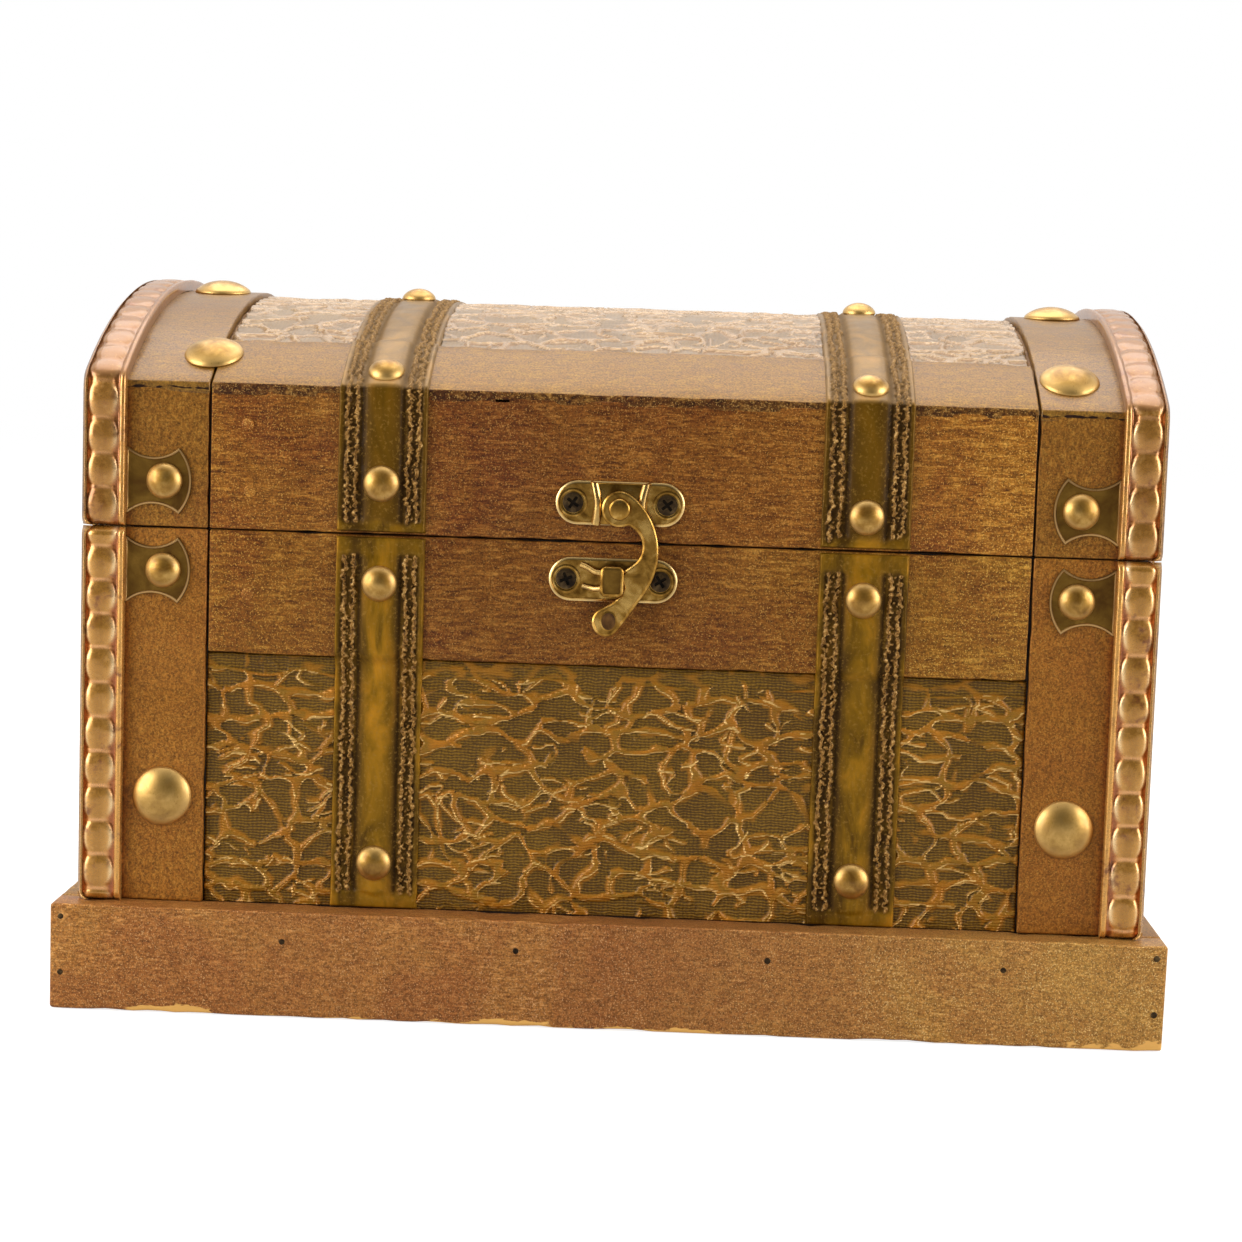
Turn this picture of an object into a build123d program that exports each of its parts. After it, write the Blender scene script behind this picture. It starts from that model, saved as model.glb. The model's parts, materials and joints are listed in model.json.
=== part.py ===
from build123d import *
import os
from math import sqrt

os.makedirs("parts", exist_ok=True)

# Overall sizes in millimetres. X runs along the front, Y from front to back, Z up.
box_width = 230.0
box_depth = 150.0
plinth_ledge = 4.5
plinth_height = 23.0
body_height = 81.0
seam_gap = 0.3
lid_board_height = 31.0
arch_rise = 20.0

# Boards of the carcass
wall_thickness = 6.0
side_wall_thickness = 8.2
floor_thickness = 5.0
floor_lift = 3.0
top_panel_thickness = 5.0
plinth_edge_round = 0.8

# Facing boards, textured skins and the gaps between them
facing_thickness = 2.2
corner_board_width = 24.5
board_joint_gap = 0.8
rail_height = 26.4
slope_strip_width = 18.5
skin_thickness = 0.6
glue_gap = 0.05
side_field_depth = 1.6
side_field_margin = 24.5
side_rail_height = 26.4

# Edge trims
trim_width = 9.5
trim_proud = 2.5
trim_edge_round = 1.0

# Straps
strap_width = 19.0
strap_thickness = 1.4
left_strap_inset = 36.4
right_strap_inset = 35.0
strap_end_gap = 0.4

# Corner brackets
bracket_thickness = 0.6
bracket_reach = 21.0
bracket_flare_start = 19.6
bracket_neck_place = 13.5
bracket_shoulder_place = 7.4
bracket_flare_height = 14.2
bracket_neck_height = 9.8
lid_bracket_rise = 9.8
body_bracket_drop = 9.0
bracket_nail_place = 15.2
bracket_fit = 0.1

# Dome nails
small_nail_radius = 3.9
small_nail_height = 2.5
large_nail_radius = 6.5
large_nail_height = 2.9
nail_shank_radius = 0.8
nail_shank_length = 6.0
nail_fit = 0.05
strap_top_nail_drop = 10.2
strap_bottom_nail_rise = 10.0
large_nail_inset = 15.5
large_nail_rise = 23.0
left_lid_nail_rise = 10.8
right_lid_nail_rise = 7.1
edge_nail_inset = 3.4
crown_nail_inset = 9.0
large_slope_nail_inset = 11.0
left_slope_nail_inset = 23.3
right_slope_nail_inset = 17.5

# Pins that hold the plinth boards
pin_head_radius = 1.0
pin_head_height = 0.5
pin_shank_radius = 0.5
pin_length = 12.0
pin_end_inset = 2.4
pin_rise = 16.5

# Swing hook latch
plate_length = 27.5
plate_width = 9.4
plate_thickness = 1.0
plate_bridge_length = 10.4
plate_bridge_height = 1.2
latch_plate_rise = 8.2
pivot_drop = 1.0
catch_plate_drop = 7.8
catch_plate_shift = 1.0
latch_screw_spacing = 20.0
latch_screw_head_radius = 2.2
latch_screw_shank_radius = 0.9
latch_screw_length = 7.0
screw_slot_length = 2.6
screw_slot_width = 0.6
screw_slot_depth = 0.5
screw_fit = 0.05
hook_thickness = 1.4
hook_side_gap = 0.3
hook_eye_radius = 3.85
hook_reach = 8.5
hook_length = 27.3
rivet_radius = 1.1
rivet_head_radius = 2.3
rivet_head_height = 1.0
rivet_fit = 0.06
lug_width = 5.0
lug_height = 6.4
lug_head_thickness = 1.0
lug_post_width = 2.2
lug_post_height = 4.4
lug_shift = 1.1
lug_edge_round = 0.4

# Butt hinges on the back
hinge_inset = 12.2
hinge_length = 20.0
hinge_leaf_height = 11.0
hinge_leaf_thickness = 1.0
knuckle_radius = 2.6
knuckle_stand_off = 0.2
knuckle_end_gap = 0.3
middle_knuckle_length = 7.4
hinge_pin_radius = 1.1
hinge_pin_fit = 0.05
hinge_pin_cap_radius = 1.8
hinge_pin_cap_length = 0.8
hinge_screw_spacing = 11.0
hinge_screw_head_radius = 1.7
hinge_screw_head_height = 0.7
hinge_screw_shank_radius = 0.8
hinge_screw_length = 6.0

# Length by which every cutting tool runs past what it cuts
overrun = 5.0

# Planes and heights worked out from the sizes above
half_width = box_width / 2
half_depth = box_depth / 2
face_y = half_depth - trim_proud
side_x = half_width - trim_proud
wall_y = face_y - facing_thickness
inner_y = wall_y - wall_thickness
inner_x = side_x - side_wall_thickness
corner_x = side_x - corner_board_width
field_x = corner_x - board_joint_gap
skin_face_y = wall_y + skin_thickness
seam_z = plinth_height + body_height
lid_z = seam_z + seam_gap
edge_z = lid_z + lid_board_height
rail_z = seam_z - rail_height
arch_radius = (face_y**2 + arch_rise**2) / (2 * arch_rise)
arch_z = edge_z + arch_rise - arch_radius
trim_arch_radius = arch_radius + trim_proud
panel_radius = arch_radius - facing_thickness
under_panel_radius = panel_radius - top_panel_thickness
skin_radius = panel_radius + glue_gap + skin_thickness
slope_y = face_y - slope_strip_width
strap_places = (left_strap_inset - field_x, field_x - right_strap_inset)
large_nail_x = side_x - large_nail_inset
hinge_x = field_x - hinge_inset
corner_signs = (-1, 1)


def arch_height(y, radius):
    """Height of the arch of this radius at a distance y from the middle."""
    return arch_z + sqrt(radius**2 - y**2)


def block(x_range, y_range, z_range, mode=Mode.ADD):
    """A rectangular board between the given limits."""
    middle = tuple((low + high) / 2 for low, high in (x_range, y_range, z_range))
    with Locations(middle):
        Box(x_range[1] - x_range[0], y_range[1] - y_range[0], z_range[1] - z_range[0], mode=mode)


def lid_outline(half_span, radius, bottom, mode=Mode.ADD):
    """The lid seen from its end: level bottom, upright sides and an arched top."""
    shoulder = arch_height(half_span, radius)
    with BuildLine() as outline:
        Polyline((-half_span, shoulder), (-half_span, bottom), (half_span, bottom), (half_span, shoulder))
        ThreePointArc((half_span, shoulder), (0, arch_z + radius), (-half_span, shoulder))
    make_face(outline.edges(), mode=mode)


def arched_sheet(x_range, half_span, inner_radius, outer_radius, y_range=None):
    """A curved board between two arches, kept to y_range when one is given."""
    with BuildSketch(Plane.YZ.offset(x_range[0])) as section:
        lid_outline(half_span, outer_radius, lid_z)
        lid_outline(half_span + overrun, inner_radius, lid_z - overrun, mode=Mode.SUBTRACT)
        if y_range is not None:
            with Locations(((y_range[0] + y_range[1]) / 2, arch_z + arch_radius)):
                Rectangle(y_range[1] - y_range[0], 2 * arch_radius, mode=Mode.INTERSECT)
    extrude(section.sketch, amount=x_range[1] - x_range[0])


def front_spot(x, z, y=face_y):
    """A place on the front, facing out."""
    return Plane(origin=(x, -y, z), x_dir=(1, 0, 0), z_dir=(0, -1, 0))


def back_spot(x, z, y=face_y):
    """A place on the back, facing out."""
    return Plane(origin=(x, y, z), x_dir=(-1, 0, 0), z_dir=(0, 1, 0))


def side_spot(sign, y, z, x=side_x):
    """A place on the left (-1) or right (1) side, facing out."""
    return Plane(origin=(sign * x, y, z), x_dir=(0, sign, 0), z_dir=(sign, 0, 0))


def arch_spot(x, y, radius):
    """A place on an arch, facing out."""
    rise = sqrt(radius**2 - y**2)
    return Plane(origin=(x, y, arch_z + rise), x_dir=(1, 0, 0), z_dir=(0, y, rise))


def holes(spots, radius, depth):
    """Round holes through whatever lies under the spots, down to the depth."""
    with Locations(*spots):
        Cylinder(radius, 2 * depth, mode=Mode.SUBTRACT)


def save(piece, name):
    """Label a finished piece and write its file."""
    piece.part.label = name
    export_step(piece.part, "parts/" + name + ".step")


# Places of the dome nails, by what carries them
strap_face = face_y + strap_thickness
low_strap_face = skin_face_y + strap_thickness
bracket_face = face_y + bracket_thickness
bracket_nail_x = side_x - bracket_nail_place
bracket_nail_y = face_y - bracket_nail_place
body_bracket_z = seam_z - body_bracket_drop
lid_bracket_z = lid_z + lid_bracket_rise
strap_top_nail_z = seam_z - strap_top_nail_drop
strap_bottom_nail_z = plinth_height + strap_bottom_nail_rise
large_nail_z = plinth_height + large_nail_rise
lid_nail_rises = (left_lid_nail_rise, right_lid_nail_rise)
slope_nail_places = (left_slope_nail_inset - side_x, side_x - right_slope_nail_inset)
edge_nail_y = face_y - edge_nail_inset
slope_nail_y = face_y - large_slope_nail_inset

body_front_nails = []
body_back_nails = []
lid_front_nails = []
lid_back_nails = []
for place in strap_places:
    body_front_nails.append(front_spot(place, strap_top_nail_z, strap_face))
    body_front_nails.append(front_spot(place, strap_bottom_nail_z, low_strap_face))
    body_back_nails.append(back_spot(place, strap_top_nail_z, strap_face))
    body_back_nails.append(back_spot(place, strap_bottom_nail_z, low_strap_face))
for place, rise in zip(strap_places, lid_nail_rises):
    lid_front_nails.append(front_spot(place, lid_z + rise, strap_face))
    lid_back_nails.append(back_spot(place, lid_z + rise, strap_face))
for sign in corner_signs:
    body_front_nails.append(front_spot(sign * bracket_nail_x, body_bracket_z, bracket_face))
    body_back_nails.append(back_spot(sign * bracket_nail_x, body_bracket_z, bracket_face))
    lid_front_nails.append(front_spot(sign * bracket_nail_x, lid_bracket_z, bracket_face))
    lid_back_nails.append(back_spot(sign * bracket_nail_x, lid_bracket_z, bracket_face))

strap_radius = arch_radius + strap_thickness
low_strap_radius = skin_radius + glue_gap + strap_thickness
lid_arch_nails = []
for place in strap_places:
    lid_arch_nails.append(arch_spot(place, -edge_nail_y, strap_radius))
    lid_arch_nails.append(arch_spot(place, edge_nail_y, strap_radius))
    lid_arch_nails.append(arch_spot(place, -crown_nail_inset, low_strap_radius))

body_side_nails = []
lid_side_nails = []
for sign in corner_signs:
    for end in corner_signs:
        body_side_nails.append(
            side_spot(sign, end * bracket_nail_y, body_bracket_z, side_x + bracket_thickness))
        lid_side_nails.append(
            side_spot(sign, end * bracket_nail_y, lid_bracket_z, side_x + bracket_thickness))

large_front_nails = [front_spot(sign * large_nail_x, large_nail_z) for sign in corner_signs]
large_back_nails = [back_spot(sign * large_nail_x, large_nail_z) for sign in corner_signs]
large_arch_nails = []
for place in slope_nail_places:
    large_arch_nails.append(arch_spot(place, -slope_nail_y, arch_radius))
    large_arch_nails.append(arch_spot(place, slope_nail_y, arch_radius))
for sign in corner_signs:
    large_arch_nails.append(arch_spot(sign * large_nail_x, -crown_nail_inset, arch_radius))

front_nails = body_front_nails + large_front_nails
back_nails = body_back_nails + large_back_nails
arch_nails = lid_arch_nails + large_arch_nails
nail_hole_radius = nail_shank_radius + nail_fit

# Places of the latch and its screws
latch_plate_z = lid_z + latch_plate_rise
pivot_z = latch_plate_z - pivot_drop
catch_plate_z = seam_z - catch_plate_drop
half_spacing = latch_screw_spacing / 2
latch_screw_spots = [
    front_spot(sign * half_spacing, latch_plate_z, face_y + plate_thickness) for sign in corner_signs]
catch_screw_spots = [
    front_spot(sign * half_spacing - catch_plate_shift, catch_plate_z, face_y + plate_thickness)
    for sign in corner_signs]
bridge_face = face_y + plate_thickness + plate_bridge_height
hook_back = bridge_face + hook_side_gap
hook_front = hook_back + hook_thickness
rivet_head_back = hook_front + hook_side_gap

# Places of the hinges and their screws
hinge_axis_y = face_y + knuckle_stand_off + knuckle_radius
hinge_axis_z = seam_z + seam_gap / 2
leaf_edge_offset = knuckle_radius - hinge_leaf_thickness
screw_offset = leaf_edge_offset + hinge_leaf_height / 2
leaf_face = face_y + hinge_leaf_thickness
lid_hinge_screws = []
body_hinge_screws = []
for sign in corner_signs:
    for end in corner_signs:
        screw_x = sign * hinge_x + end * hinge_screw_spacing / 2
        lid_hinge_screws.append(back_spot(screw_x, hinge_axis_z + screw_offset, leaf_face))
        body_hinge_screws.append(back_spot(screw_x, hinge_axis_z - screw_offset, leaf_face))
hinge_hole_radius = hinge_screw_shank_radius + screw_fit


# One nail, screw or pin of each kind, standing at the origin and facing up
def dome_nail(head_radius, head_height):
    """A round domed head on a plain shank."""
    with BuildPart() as nail:
        with BuildSketch(Plane.XZ):
            with BuildLine():
                Polyline((0, head_height), (0, 0), (head_radius, 0))
                RadiusArc((head_radius, 0), (0, head_height),
                          -(head_radius**2 + head_height**2) / (2 * head_height))
            make_face()
        revolve(axis=Axis.Z)
        Cylinder(nail_shank_radius, nail_shank_length, align=(Align.CENTER, Align.CENTER, Align.MAX))
    return nail.part


def countersunk_shape(grow, mode=Mode.ADD):
    """The cone and shank of a latch screw, grown by a fit for its hole."""
    under = (Align.CENTER, Align.CENTER, Align.MAX)
    head_bottom = latch_screw_shank_radius + grow
    Cone(head_bottom, latch_screw_head_radius + grow, plate_thickness, align=under, mode=mode)
    Cylinder(head_bottom, latch_screw_length + grow, align=under, mode=mode)


small_nail = dome_nail(small_nail_radius, small_nail_height)
large_nail = dome_nail(large_nail_radius, large_nail_height)

with BuildPart() as latch_screw_part:
    countersunk_shape(0)
    for turn in (0, 90):
        with Locations(Location((0, 0, 0), (0, 0, turn))):
            Box(screw_slot_length, screw_slot_width, 2 * screw_slot_depth, mode=Mode.SUBTRACT)
latch_screw = latch_screw_part.part

with BuildPart() as hinge_screw_part:
    Cylinder(hinge_screw_head_radius, hinge_screw_head_height,
             align=(Align.CENTER, Align.CENTER, Align.MIN))
    chamfer(hinge_screw_part.edges().sort_by(Axis.Z)[-1], hinge_screw_head_height / 2)
    Cylinder(hinge_screw_shank_radius, hinge_screw_length,
             align=(Align.CENTER, Align.CENTER, Align.MAX))
hinge_screw = hinge_screw_part.part

with BuildPart() as pin_part:
    Cylinder(pin_head_radius, pin_head_height, align=(Align.CENTER, Align.CENTER, Align.MAX))
    Cylinder(pin_shank_radius, pin_length, align=(Align.CENTER, Align.CENTER, Align.MAX))
plinth_pin = pin_part.part


# Plinth: four boards around the foot of the box
plinth_x = half_width + plinth_ledge
plinth_y = half_depth + plinth_ledge
full_width = (-plinth_x, plinth_x)
plinth_pin_x = plinth_x - pin_end_inset
front_pin_shares = (0.58, 0.16, -0.29, -0.71)
front_pins = []
back_pins = []
for sign in corner_signs:
    for height_share in (0.35, 0.88):
        front_pins.append(front_spot(sign * plinth_pin_x, plinth_height * height_share, plinth_y))
        back_pins.append(back_spot(sign * plinth_pin_x, plinth_height * height_share, plinth_y))
for share in front_pin_shares:
    front_pins.append(front_spot(-share * plinth_x, pin_rise, plinth_y))
    back_pins.append(back_spot(share * plinth_x, pin_rise, plinth_y))
side_pin_y = wall_y / 2
side_pins = []
for sign in corner_signs:
    for end in corner_signs:
        side_pins.append(side_spot(sign, end * side_pin_y, pin_rise, plinth_x))


def pin_holes(spots):
    """Holes that the plinth pins fill, head and shank."""
    holes(spots, pin_head_radius + nail_fit, pin_head_height)
    holes(spots, pin_shank_radius + nail_fit, pin_length + nail_fit)


for name, sign, pins in (("front", -1, front_pins), ("back", 1, back_pins)):
    with BuildPart() as plinth_board:
        block(full_width, sorted((sign * wall_y, sign * plinth_y)), (0, plinth_height))
        top_edges = plinth_board.edges().filter_by(Axis.X).group_by(Axis.Z)[-1]
        fillet(top_edges.sort_by(Axis.Y)[0 if sign < 0 else -1], plinth_edge_round)
        pin_holes(pins)
    save(plinth_board, "plinth_" + name + "_board")

for name, sign in (("left", -1), ("right", 1)):
    with BuildPart() as plinth_board:
        block(sorted((sign * side_x, sign * plinth_x)), (-wall_y, wall_y), (0, plinth_height))
        top_edges = plinth_board.edges().filter_by(Axis.Y).group_by(Axis.Z)[-1]
        fillet(top_edges.sort_by(Axis.X)[0 if sign < 0 else -1], plinth_edge_round)
        pin_holes(front_pins + back_pins + side_pins)
    save(plinth_board, "plinth_" + name + "_board")

with BuildPart() as plinth_pins:
    with Locations(*front_pins, *back_pins, *side_pins):
        add(plinth_pin)
save(plinth_pins, "plinth_pins")


# Carcass of the body
with BuildPart() as bottom_panel:
    block((-inner_x, inner_x), (-inner_y, inner_y), (floor_lift, floor_lift + floor_thickness))
save(bottom_panel, "bottom_panel")

for name, sign, nails, pins in (("front", -1, front_nails, front_pins), ("back", 1, back_nails, back_pins)):
    with BuildPart() as body_wall:
        block((-inner_x, inner_x), sorted((sign * inner_y, sign * wall_y)), (floor_lift, seam_z))
        holes(nails, nail_hole_radius, nail_shank_length + nail_fit)
        holes(pins, pin_shank_radius + nail_fit, pin_length + nail_fit)
        if sign < 0:
            holes(catch_screw_spots, latch_screw_shank_radius + screw_fit, latch_screw_length + screw_fit)
        else:
            holes(body_hinge_screws, hinge_hole_radius, hinge_screw_length + screw_fit)
    save(body_wall, "body_" + name + "_wall")

side_field_y = wall_y - side_field_margin
side_field_top = seam_z - side_rail_height
for name, sign in (("left", -1), ("right", 1)):
    with BuildPart() as body_wall:
        block(sorted((sign * inner_x, sign * side_x)), (-wall_y, wall_y), (floor_lift, seam_z))
        field_bottom = sorted((sign * (side_x - side_field_depth), sign * (side_x + overrun)))
        block(field_bottom, (-side_field_y, side_field_y), (plinth_height, side_field_top),
              mode=Mode.SUBTRACT)
        holes(front_nails + back_nails + body_side_nails, nail_hole_radius, nail_shank_length + nail_fit)
        holes(front_pins + back_pins + side_pins, pin_shank_radius + nail_fit, pin_length + nail_fit)
    save(body_wall, "body_" + name + "_wall")


# Textured skins of the body
for name, sign, nails in (("front", -1, front_nails), ("back", 1, back_nails)):
    with BuildPart() as body_skin:
        block((-field_x, field_x), sorted((sign * wall_y, sign * skin_face_y)), (plinth_height, rail_z))
        holes(nails, nail_hole_radius, nail_shank_length)
    save(body_skin, "body_" + name + "_skin")

side_skin_x = side_x - side_field_depth
with BuildPart() as body_side_skins:
    for sign in corner_signs:
        sheet = sorted((sign * side_skin_x, sign * (side_skin_x + skin_thickness)))
        block(sheet, (glue_gap - side_field_y, side_field_y - glue_gap),
              (plinth_height, side_field_top - glue_gap))
save(body_side_skins, "body_side_skins")


# Facing boards of the body
for name, sign, nails in (("front", -1, front_nails), ("back", 1, back_nails)):
    thick = sorted((sign * wall_y, sign * face_y))
    with BuildPart() as body_rail:
        block((-field_x, field_x), thick, (rail_z, seam_z))
        holes(nails, nail_hole_radius, nail_shank_length)
        if sign < 0:
            holes(catch_screw_spots, latch_screw_shank_radius + screw_fit, latch_screw_length)
        else:
            holes(body_hinge_screws, hinge_hole_radius, hinge_screw_length)
    save(body_rail, "body_" + name + "_rail")
    for side, end in (("left", -1), ("right", 1)):
        with BuildPart() as corner_board:
            block(sorted((end * corner_x, end * side_x)), thick, (plinth_height, seam_z))
            holes(nails, nail_hole_radius, nail_shank_length)
        save(corner_board, "body_" + name + "_" + side + "_corner_board")


# Corner brackets: thin plates bent round each corner, flared at both ends
def bracket_outline():
    """One leg of a bracket, from the bend at the origin out along x."""
    half_flare = bracket_flare_height / 2
    half_neck = bracket_neck_height / 2
    with BuildLine() as outline:
        Polyline((bracket_shoulder_place, half_flare), (0, half_flare), (0, -half_flare),
                 (bracket_shoulder_place, -half_flare))
        ThreePointArc((bracket_shoulder_place, -half_flare), (bracket_neck_place, -half_neck),
                      (bracket_flare_start, -half_flare))
        ThreePointArc((bracket_flare_start, -half_flare), (bracket_reach, 0),
                      (bracket_flare_start, half_flare))
        ThreePointArc((bracket_flare_start, half_flare), (bracket_neck_place, half_neck),
                      (bracket_shoulder_place, half_flare))
    make_face(outline.edges())


def brackets(height):
    """The four brackets at one height, each with a leg on two faces."""
    for sign in corner_signs:
        for end in corner_signs:
            corner = (sign * side_x, end * face_y, height)
            with BuildSketch(Plane(origin=corner, x_dir=(-sign, 0, 0), z_dir=(0, end, 0))) as wide_leg:
                bracket_outline()
            extrude(wide_leg.sketch, amount=bracket_thickness)
            with BuildSketch(Plane(origin=corner, x_dir=(0, -end, 0), z_dir=(sign, 0, 0))) as side_leg:
                bracket_outline()
            extrude(side_leg.sketch, amount=bracket_thickness)
            half_flare = bracket_flare_height / 2
            block(sorted((sign * side_x, sign * (side_x + bracket_thickness))),
                  sorted((end * face_y, end * (face_y + bracket_thickness))),
                  (height - half_flare, height + half_flare))


for name, height, nails in (
        ("body", body_bracket_z, body_front_nails + body_back_nails + body_side_nails),
        ("lid", lid_bracket_z, lid_front_nails + lid_back_nails + lid_side_nails)):
    with BuildPart() as corner_brackets:
        brackets(height)
        holes(nails, nail_hole_radius, nail_shank_length)
    save(corner_brackets, name + "_corner_brackets")


def bracket_notch(sign, end, height):
    """Room under an edge trim for the bracket that it covers."""
    half_notch = bracket_flare_height / 2 + bracket_fit
    deep = bracket_thickness + bracket_fit
    tall = (height - half_notch, height + half_notch)
    block(sorted((sign * (side_x - bracket_reach), sign * (side_x + deep))),
          sorted((end * (face_y - bracket_reach), end * (face_y + deep))), tall, mode=Mode.SUBTRACT)


# Edge trims of the body: an angle strip on each upright corner
for name, end in (("front", -1), ("back", 1)):
    for side, sign in (("left", -1), ("right", 1)):
        with BuildPart() as body_trim:
            across = sorted((sign * (half_width - trim_width), sign * half_width))
            along = sorted((end * (half_depth - trim_width), end * half_depth))
            block(across, along, (plinth_height, seam_z))
            outer_edge = body_trim.edges().filter_by(Axis.Z).sort_by(
                lambda edge: abs(edge.center().X) + abs(edge.center().Y))[-1]
            fillet(outer_edge, trim_edge_round)
            block(sorted((0, sign * side_x)), sorted((0, end * face_y)),
                  (plinth_height - overrun, seam_z + overrun), mode=Mode.SUBTRACT)
            bracket_notch(sign, end, body_bracket_z)
        save(body_trim, "body_" + name + "_" + side + "_trim")


# Straps of the body: over the rail, then stepping down onto the skin
for name, end, nails in (("front", -1, body_front_nails), ("back", 1, body_back_nails)):
    for side, place in zip(("left", "right"), strap_places):
        with BuildPart() as body_strap:
            across = (place - strap_width / 2, place + strap_width / 2)
            block(across, sorted((end * face_y, end * strap_face)), (rail_z - glue_gap, seam_z - strap_end_gap))
            block(across, sorted((end * skin_face_y, end * strap_face)),
                  (rail_z - glue_gap - strap_thickness, rail_z - glue_gap))
            block(across, sorted((end * skin_face_y, end * low_strap_face)),
                  (plinth_height, rail_z - glue_gap))
            holes(nails, nail_hole_radius, nail_shank_length)
        save(body_strap, "body_" + name + "_" + side + "_strap")

with BuildPart() as body_small_nails:
    with Locations(*body_front_nails, *body_back_nails, *body_side_nails):
        add(small_nail)
save(body_small_nails, "body_small_nails")

with BuildPart() as body_large_nails:
    with Locations(*large_front_nails, *large_back_nails):
        add(large_nail)
save(body_large_nails, "body_large_nails")


# Carcass of the lid
for name, sign, nails in (("front", -1, lid_front_nails), ("back", 1, lid_back_nails)):
    with BuildPart() as lid_wall:
        with BuildSketch(Plane.YZ.offset(-inner_x)):
            lid_outline(wall_y, under_panel_radius - glue_gap, lid_z)
            with Locations((sign * (inner_y + wall_y) / 2, edge_z)):
                Rectangle(wall_thickness, 2 * edge_z, mode=Mode.INTERSECT)
        extrude(amount=2 * inner_x)
        holes(nails + arch_nails, nail_hole_radius, nail_shank_length + nail_fit)
        if sign < 0:
            holes(latch_screw_spots, latch_screw_shank_radius + screw_fit, latch_screw_length + screw_fit)
        else:
            holes(lid_hinge_screws, hinge_hole_radius, hinge_screw_length + screw_fit)
    save(lid_wall, "lid_" + name + "_wall")

end_field_radius = arch_radius - side_field_margin
for name, sign in (("left", -1), ("right", 1)):
    with BuildPart() as lid_end:
        with BuildSketch(Plane.YZ.offset(sign * inner_x)):
            lid_outline(wall_y, under_panel_radius - glue_gap, lid_z)
        extrude(amount=sign * side_wall_thickness)
        with BuildSketch(Plane.YZ.offset(sign * (side_x - side_field_depth))):
            lid_outline(side_field_y, end_field_radius, lid_z)
        extrude(amount=sign * side_wall_thickness, mode=Mode.SUBTRACT)
        holes(lid_front_nails + lid_back_nails + lid_side_nails + arch_nails,
              nail_hole_radius, nail_shank_length + nail_fit)
    save(lid_end, "lid_" + name + "_end")

with BuildPart() as lid_end_skins:
    for sign in corner_signs:
        with BuildSketch(Plane.YZ.offset(sign * side_skin_x)):
            lid_outline(side_field_y - glue_gap, end_field_radius - glue_gap, lid_z)
        extrude(amount=sign * skin_thickness)
save(lid_end_skins, "lid_end_skins")

with BuildPart() as lid_top_panel:
    arched_sheet((-side_x, side_x), wall_y, under_panel_radius, panel_radius)
    holes(arch_nails + lid_front_nails + lid_back_nails, nail_hole_radius, nail_shank_length + nail_fit)
save(lid_top_panel, "lid_top_panel")

with BuildPart() as lid_top_skin:
    arched_sheet((-field_x, field_x), wall_y, panel_radius + glue_gap, skin_radius,
                 (glue_gap - slope_y, slope_y - glue_gap))
    holes(arch_nails, nail_hole_radius, nail_shank_length)
save(lid_top_skin, "lid_top_skin")


# Facing boards of the lid
def lid_front_piece(x_range, end):
    """A facing board of the lid's front or back, its top cut to the arch."""
    with BuildSketch(Plane.YZ.offset(x_range[0])) as section:
        lid_outline(face_y, panel_radius, lid_z)
        with Locations((end * (wall_y + face_y) / 2, edge_z)):
            Rectangle(facing_thickness, 2 * edge_z, mode=Mode.INTERSECT)
    extrude(section.sketch, amount=x_range[1] - x_range[0])


for name, end, nails in (("front", -1, lid_front_nails), ("back", 1, lid_back_nails)):
    with BuildPart() as lid_board:
        lid_front_piece((-field_x, field_x), end)
        holes(nails + arch_nails, nail_hole_radius, nail_shank_length)
        if end < 0:
            holes(latch_screw_spots, latch_screw_shank_radius + screw_fit, latch_screw_length)
        else:
            holes(lid_hinge_screws, hinge_hole_radius, hinge_screw_length)
    save(lid_board, "lid_" + name + "_board")
    with BuildPart() as slope_strip:
        arched_sheet((-field_x, field_x), face_y, panel_radius + glue_gap, arch_radius,
                     sorted((end * slope_y, end * face_y)))
        holes(arch_nails, nail_hole_radius, nail_shank_length)
    save(slope_strip, "lid_" + name + "_slope_strip")

with BuildPart() as lid_corner_boards:
    for sign in corner_signs:
        for end in corner_signs:
            lid_front_piece(sorted((sign * corner_x, sign * side_x)), end)
    holes(lid_front_nails + lid_back_nails + arch_nails, nail_hole_radius, nail_shank_length)
save(lid_corner_boards, "lid_corner_boards")

for name, sign in (("left", -1), ("right", 1)):
    with BuildPart() as arch_band:
        arched_sheet(sorted((sign * corner_x, sign * side_x)), face_y, panel_radius + glue_gap, arch_radius)
        holes(large_arch_nails, nail_hole_radius, nail_shank_length)
    save(arch_band, "lid_" + name + "_arch_band")


# Edge trims of the lid: an angle strip up the front, over the arch and down the back
for name, sign in (("left", -1), ("right", 1)):
    with BuildPart() as lid_trim:
        with BuildSketch(Plane.YZ.offset(sign * half_width)):
            lid_outline(half_depth, trim_arch_radius, lid_z)
        extrude(amount=-sign * trim_width)
        with BuildSketch(Plane.YZ.offset(sign * side_x)):
            lid_outline(face_y, arch_radius + glue_gap, lid_z - overrun)
        extrude(amount=-sign * trim_width, mode=Mode.SUBTRACT)
        with BuildSketch(Plane.YZ.offset(sign * half_width)):
            lid_outline(half_depth - trim_width, trim_arch_radius - trim_width, lid_z - overrun)
        extrude(amount=-sign * trim_width, mode=Mode.SUBTRACT)
        for end in corner_signs:
            bracket_notch(sign, end, lid_bracket_z)
    save(lid_trim, "lid_" + name + "_trim")


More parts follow.
